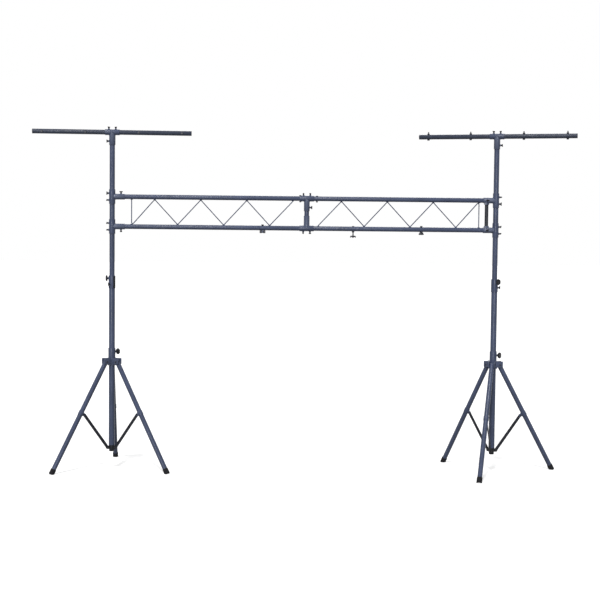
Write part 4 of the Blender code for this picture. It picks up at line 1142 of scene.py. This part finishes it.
def make_lamp_bolts(chord):
    """Bolts under the lower chord, with a square block, drooping wings or a flared nut."""
    seat = CHORD_RADIUS + GAP
    width, depth, height = BLOCK_SIZE
    prong = (width - BLOCK_SLOT) / 2
    place = chord @ shifted(BLOCK_BOLT_PLACE)
    shapes = [bolt(-seat, seat, seat)]
    for side in (-1, 1):
        spot = (side * (BLOCK_SLOT + prong) / 2, 0, -seat - height / 2)
        shapes.append(block((prong, depth, height), spot))
    show("block_bolt", together(*shapes), place, "truss", "plated", ["block_lamp_bolt"])
    size = (BLOCK_SLOT, depth - 2 * BLOCK_INSET, height - BLOCK_INSET)
    middle = block(size, (0, 0, BLOCK_INSET / 2 - seat - height / 2), ROUNDING)
    show("block_middle", middle, place, "truss")
    end = -CHORD_RADIUS - HANGING_BOLT_LENGTH
    shape = together(bolt(end, seat, seat, -seat, head=LOW_HEAD_HEIGHT), drooping_wings(end))
    place = chord @ shifted(HANGING_BOLT_PLACE)
    show("hanging_bolt", shape, place, "truss", "plated", ["hanging_lamp_bolt"])
    shape = together(bolt(-seat - WING_NUT_HEIGHT + ROUNDING, seat, seat), flared_nut(-seat))
    place = chord @ shifted(WING_BOLT_PLACE)
    show("wing_bolt", shape, place, "truss", "plated", ["wing_lamp_bolt"])


def make_joint_bolts(chord):
    """Two small bolts through the upper chord, one on each side of the middle post."""
    bolts = []
    for x, stub in JOINT_BOLT_STUBS.items():
        seat = CHORD_RADIUS - LIP
        if abs(x) < RUN_LENGTH / 2:
            seat += SLEEVE_WALL + GAP
        end = seat + JOINT_HEAD_HEIGHT + stub
        shape = bolt(-end, seat, seat, -seat, JOINT_HEAD_HEIGHT, JOINT_HEAD_HEIGHT)
        bolts.append(placed(shape, shifted(x)))
    show("joint_bolts", together(*bolts), chord, "truss", "plated")


# Studio


def make_camera(middle):
    data = bpy.data.cameras.new("camera")
    data.sensor_width = SENSOR_WIDTH
    data.lens = FOCAL_PIXELS * SENSOR_WIDTH / PHOTO_WIDTH
    camera = added("camera", data)
    turn = spun(-CAMERA_YAW) @ spun(90 - CAMERA_PITCH, "X") @ spun(CAMERA_ROLL)
    camera.matrix_world = middle @ shifted(*CAMERA_PLACE) @ turn
    bpy.context.scene.camera = camera


def make_sun(name, strength, spread, elevation, azimuth):
    """Soft sun; its angles are in degrees, and azimuth 0 is the camera's side."""
    data = bpy.data.lights.new(name, "SUN")
    data.energy = strength
    data.angle = math.radians(spread)
    added(name, data).matrix_world = spun(azimuth) @ spun(90 - elevation, "X")


def seen_directly(tree):
    """1 for camera, glossy and transmission rays."""
    rays = new_node(tree, "LightPath", {}).outputs
    total = rays["Is Camera Ray"]
    for name in ("Is Glossy Ray", "Is Transmission Ray"):
        node = new_node(tree, "Math", {0: total, 1: rays[name]})
        node.operation = "MAXIMUM"
        total = node.outputs["Value"]
    return total


def make_world():
    """White where it is seen, and dim as light."""
    world = bpy.data.worlds.new("studio")
    world.use_nodes = True
    tree = world.node_tree
    colour = mixed(tree, seen_directly(tree), grey(WORLD_LEVEL), grey(1))
    feed(tree.nodes["Background"], {"Color": colour, "Strength": 1})
    bpy.context.scene.world = world


def make_floor(middle):
    """Plain white floor that keeps the shadow and is dim to other surfaces."""
    mesh = bpy.data.meshes.new("floor")
    reach = FLOOR_REACH
    corners = [(-reach, -reach, 0), (reach, -reach, 0), (reach, reach, 0), (-reach, reach, 0)]
    mesh.from_pydata(corners, [], [(0, 1, 2, 3)])
    material, tree, shader = new_material("floor", grey(FLOOR_COLOUR), 1, 0, 0)
    seen = seen_directly(tree)
    colour = mixed(tree, seen, grey(FLOOR_BOUNCE), grey(FLOOR_COLOUR))
    glow = mixed(tree, seen, grey(0), grey(1))
    feed(shader, {"Base Color": colour, "Emission Color": glow})
    feed(shader, {"Emission Strength": FLOOR_GLOW})
    mesh.materials.append(material)
    floor = added("floor", mesh)
    floor.location = (middle.translation.x, middle.translation.y, -FLOOR_DROP)


def mast_place(side):
    """Foot of the mast's axis on the floor."""
    low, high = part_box(f"{side}_lower_tube")
    return shifted((low.x + high.x) / 2, (low.y + high.y) / 2, 0)


def main():
    masts = {stand["side"]: mast_place(stand["side"]) for stand in STANDS}
    middle = Matrix.Translation((masts["left"].translation + masts["right"].translation) / 2)
    make_camera(middle)
    for stand in STANDS:
        mast = masts[stand["side"]]
        make_mast(stand, mast)
        make_tripod(stand, mast)
        make_t_bar(stand, mast)
    make_truss(middle)
    for name, sun in SUNS.items():
        make_sun(name, *sun)
    make_world()
    make_floor(middle)
    bpy.context.scene.view_settings.view_transform = "Standard"


main()
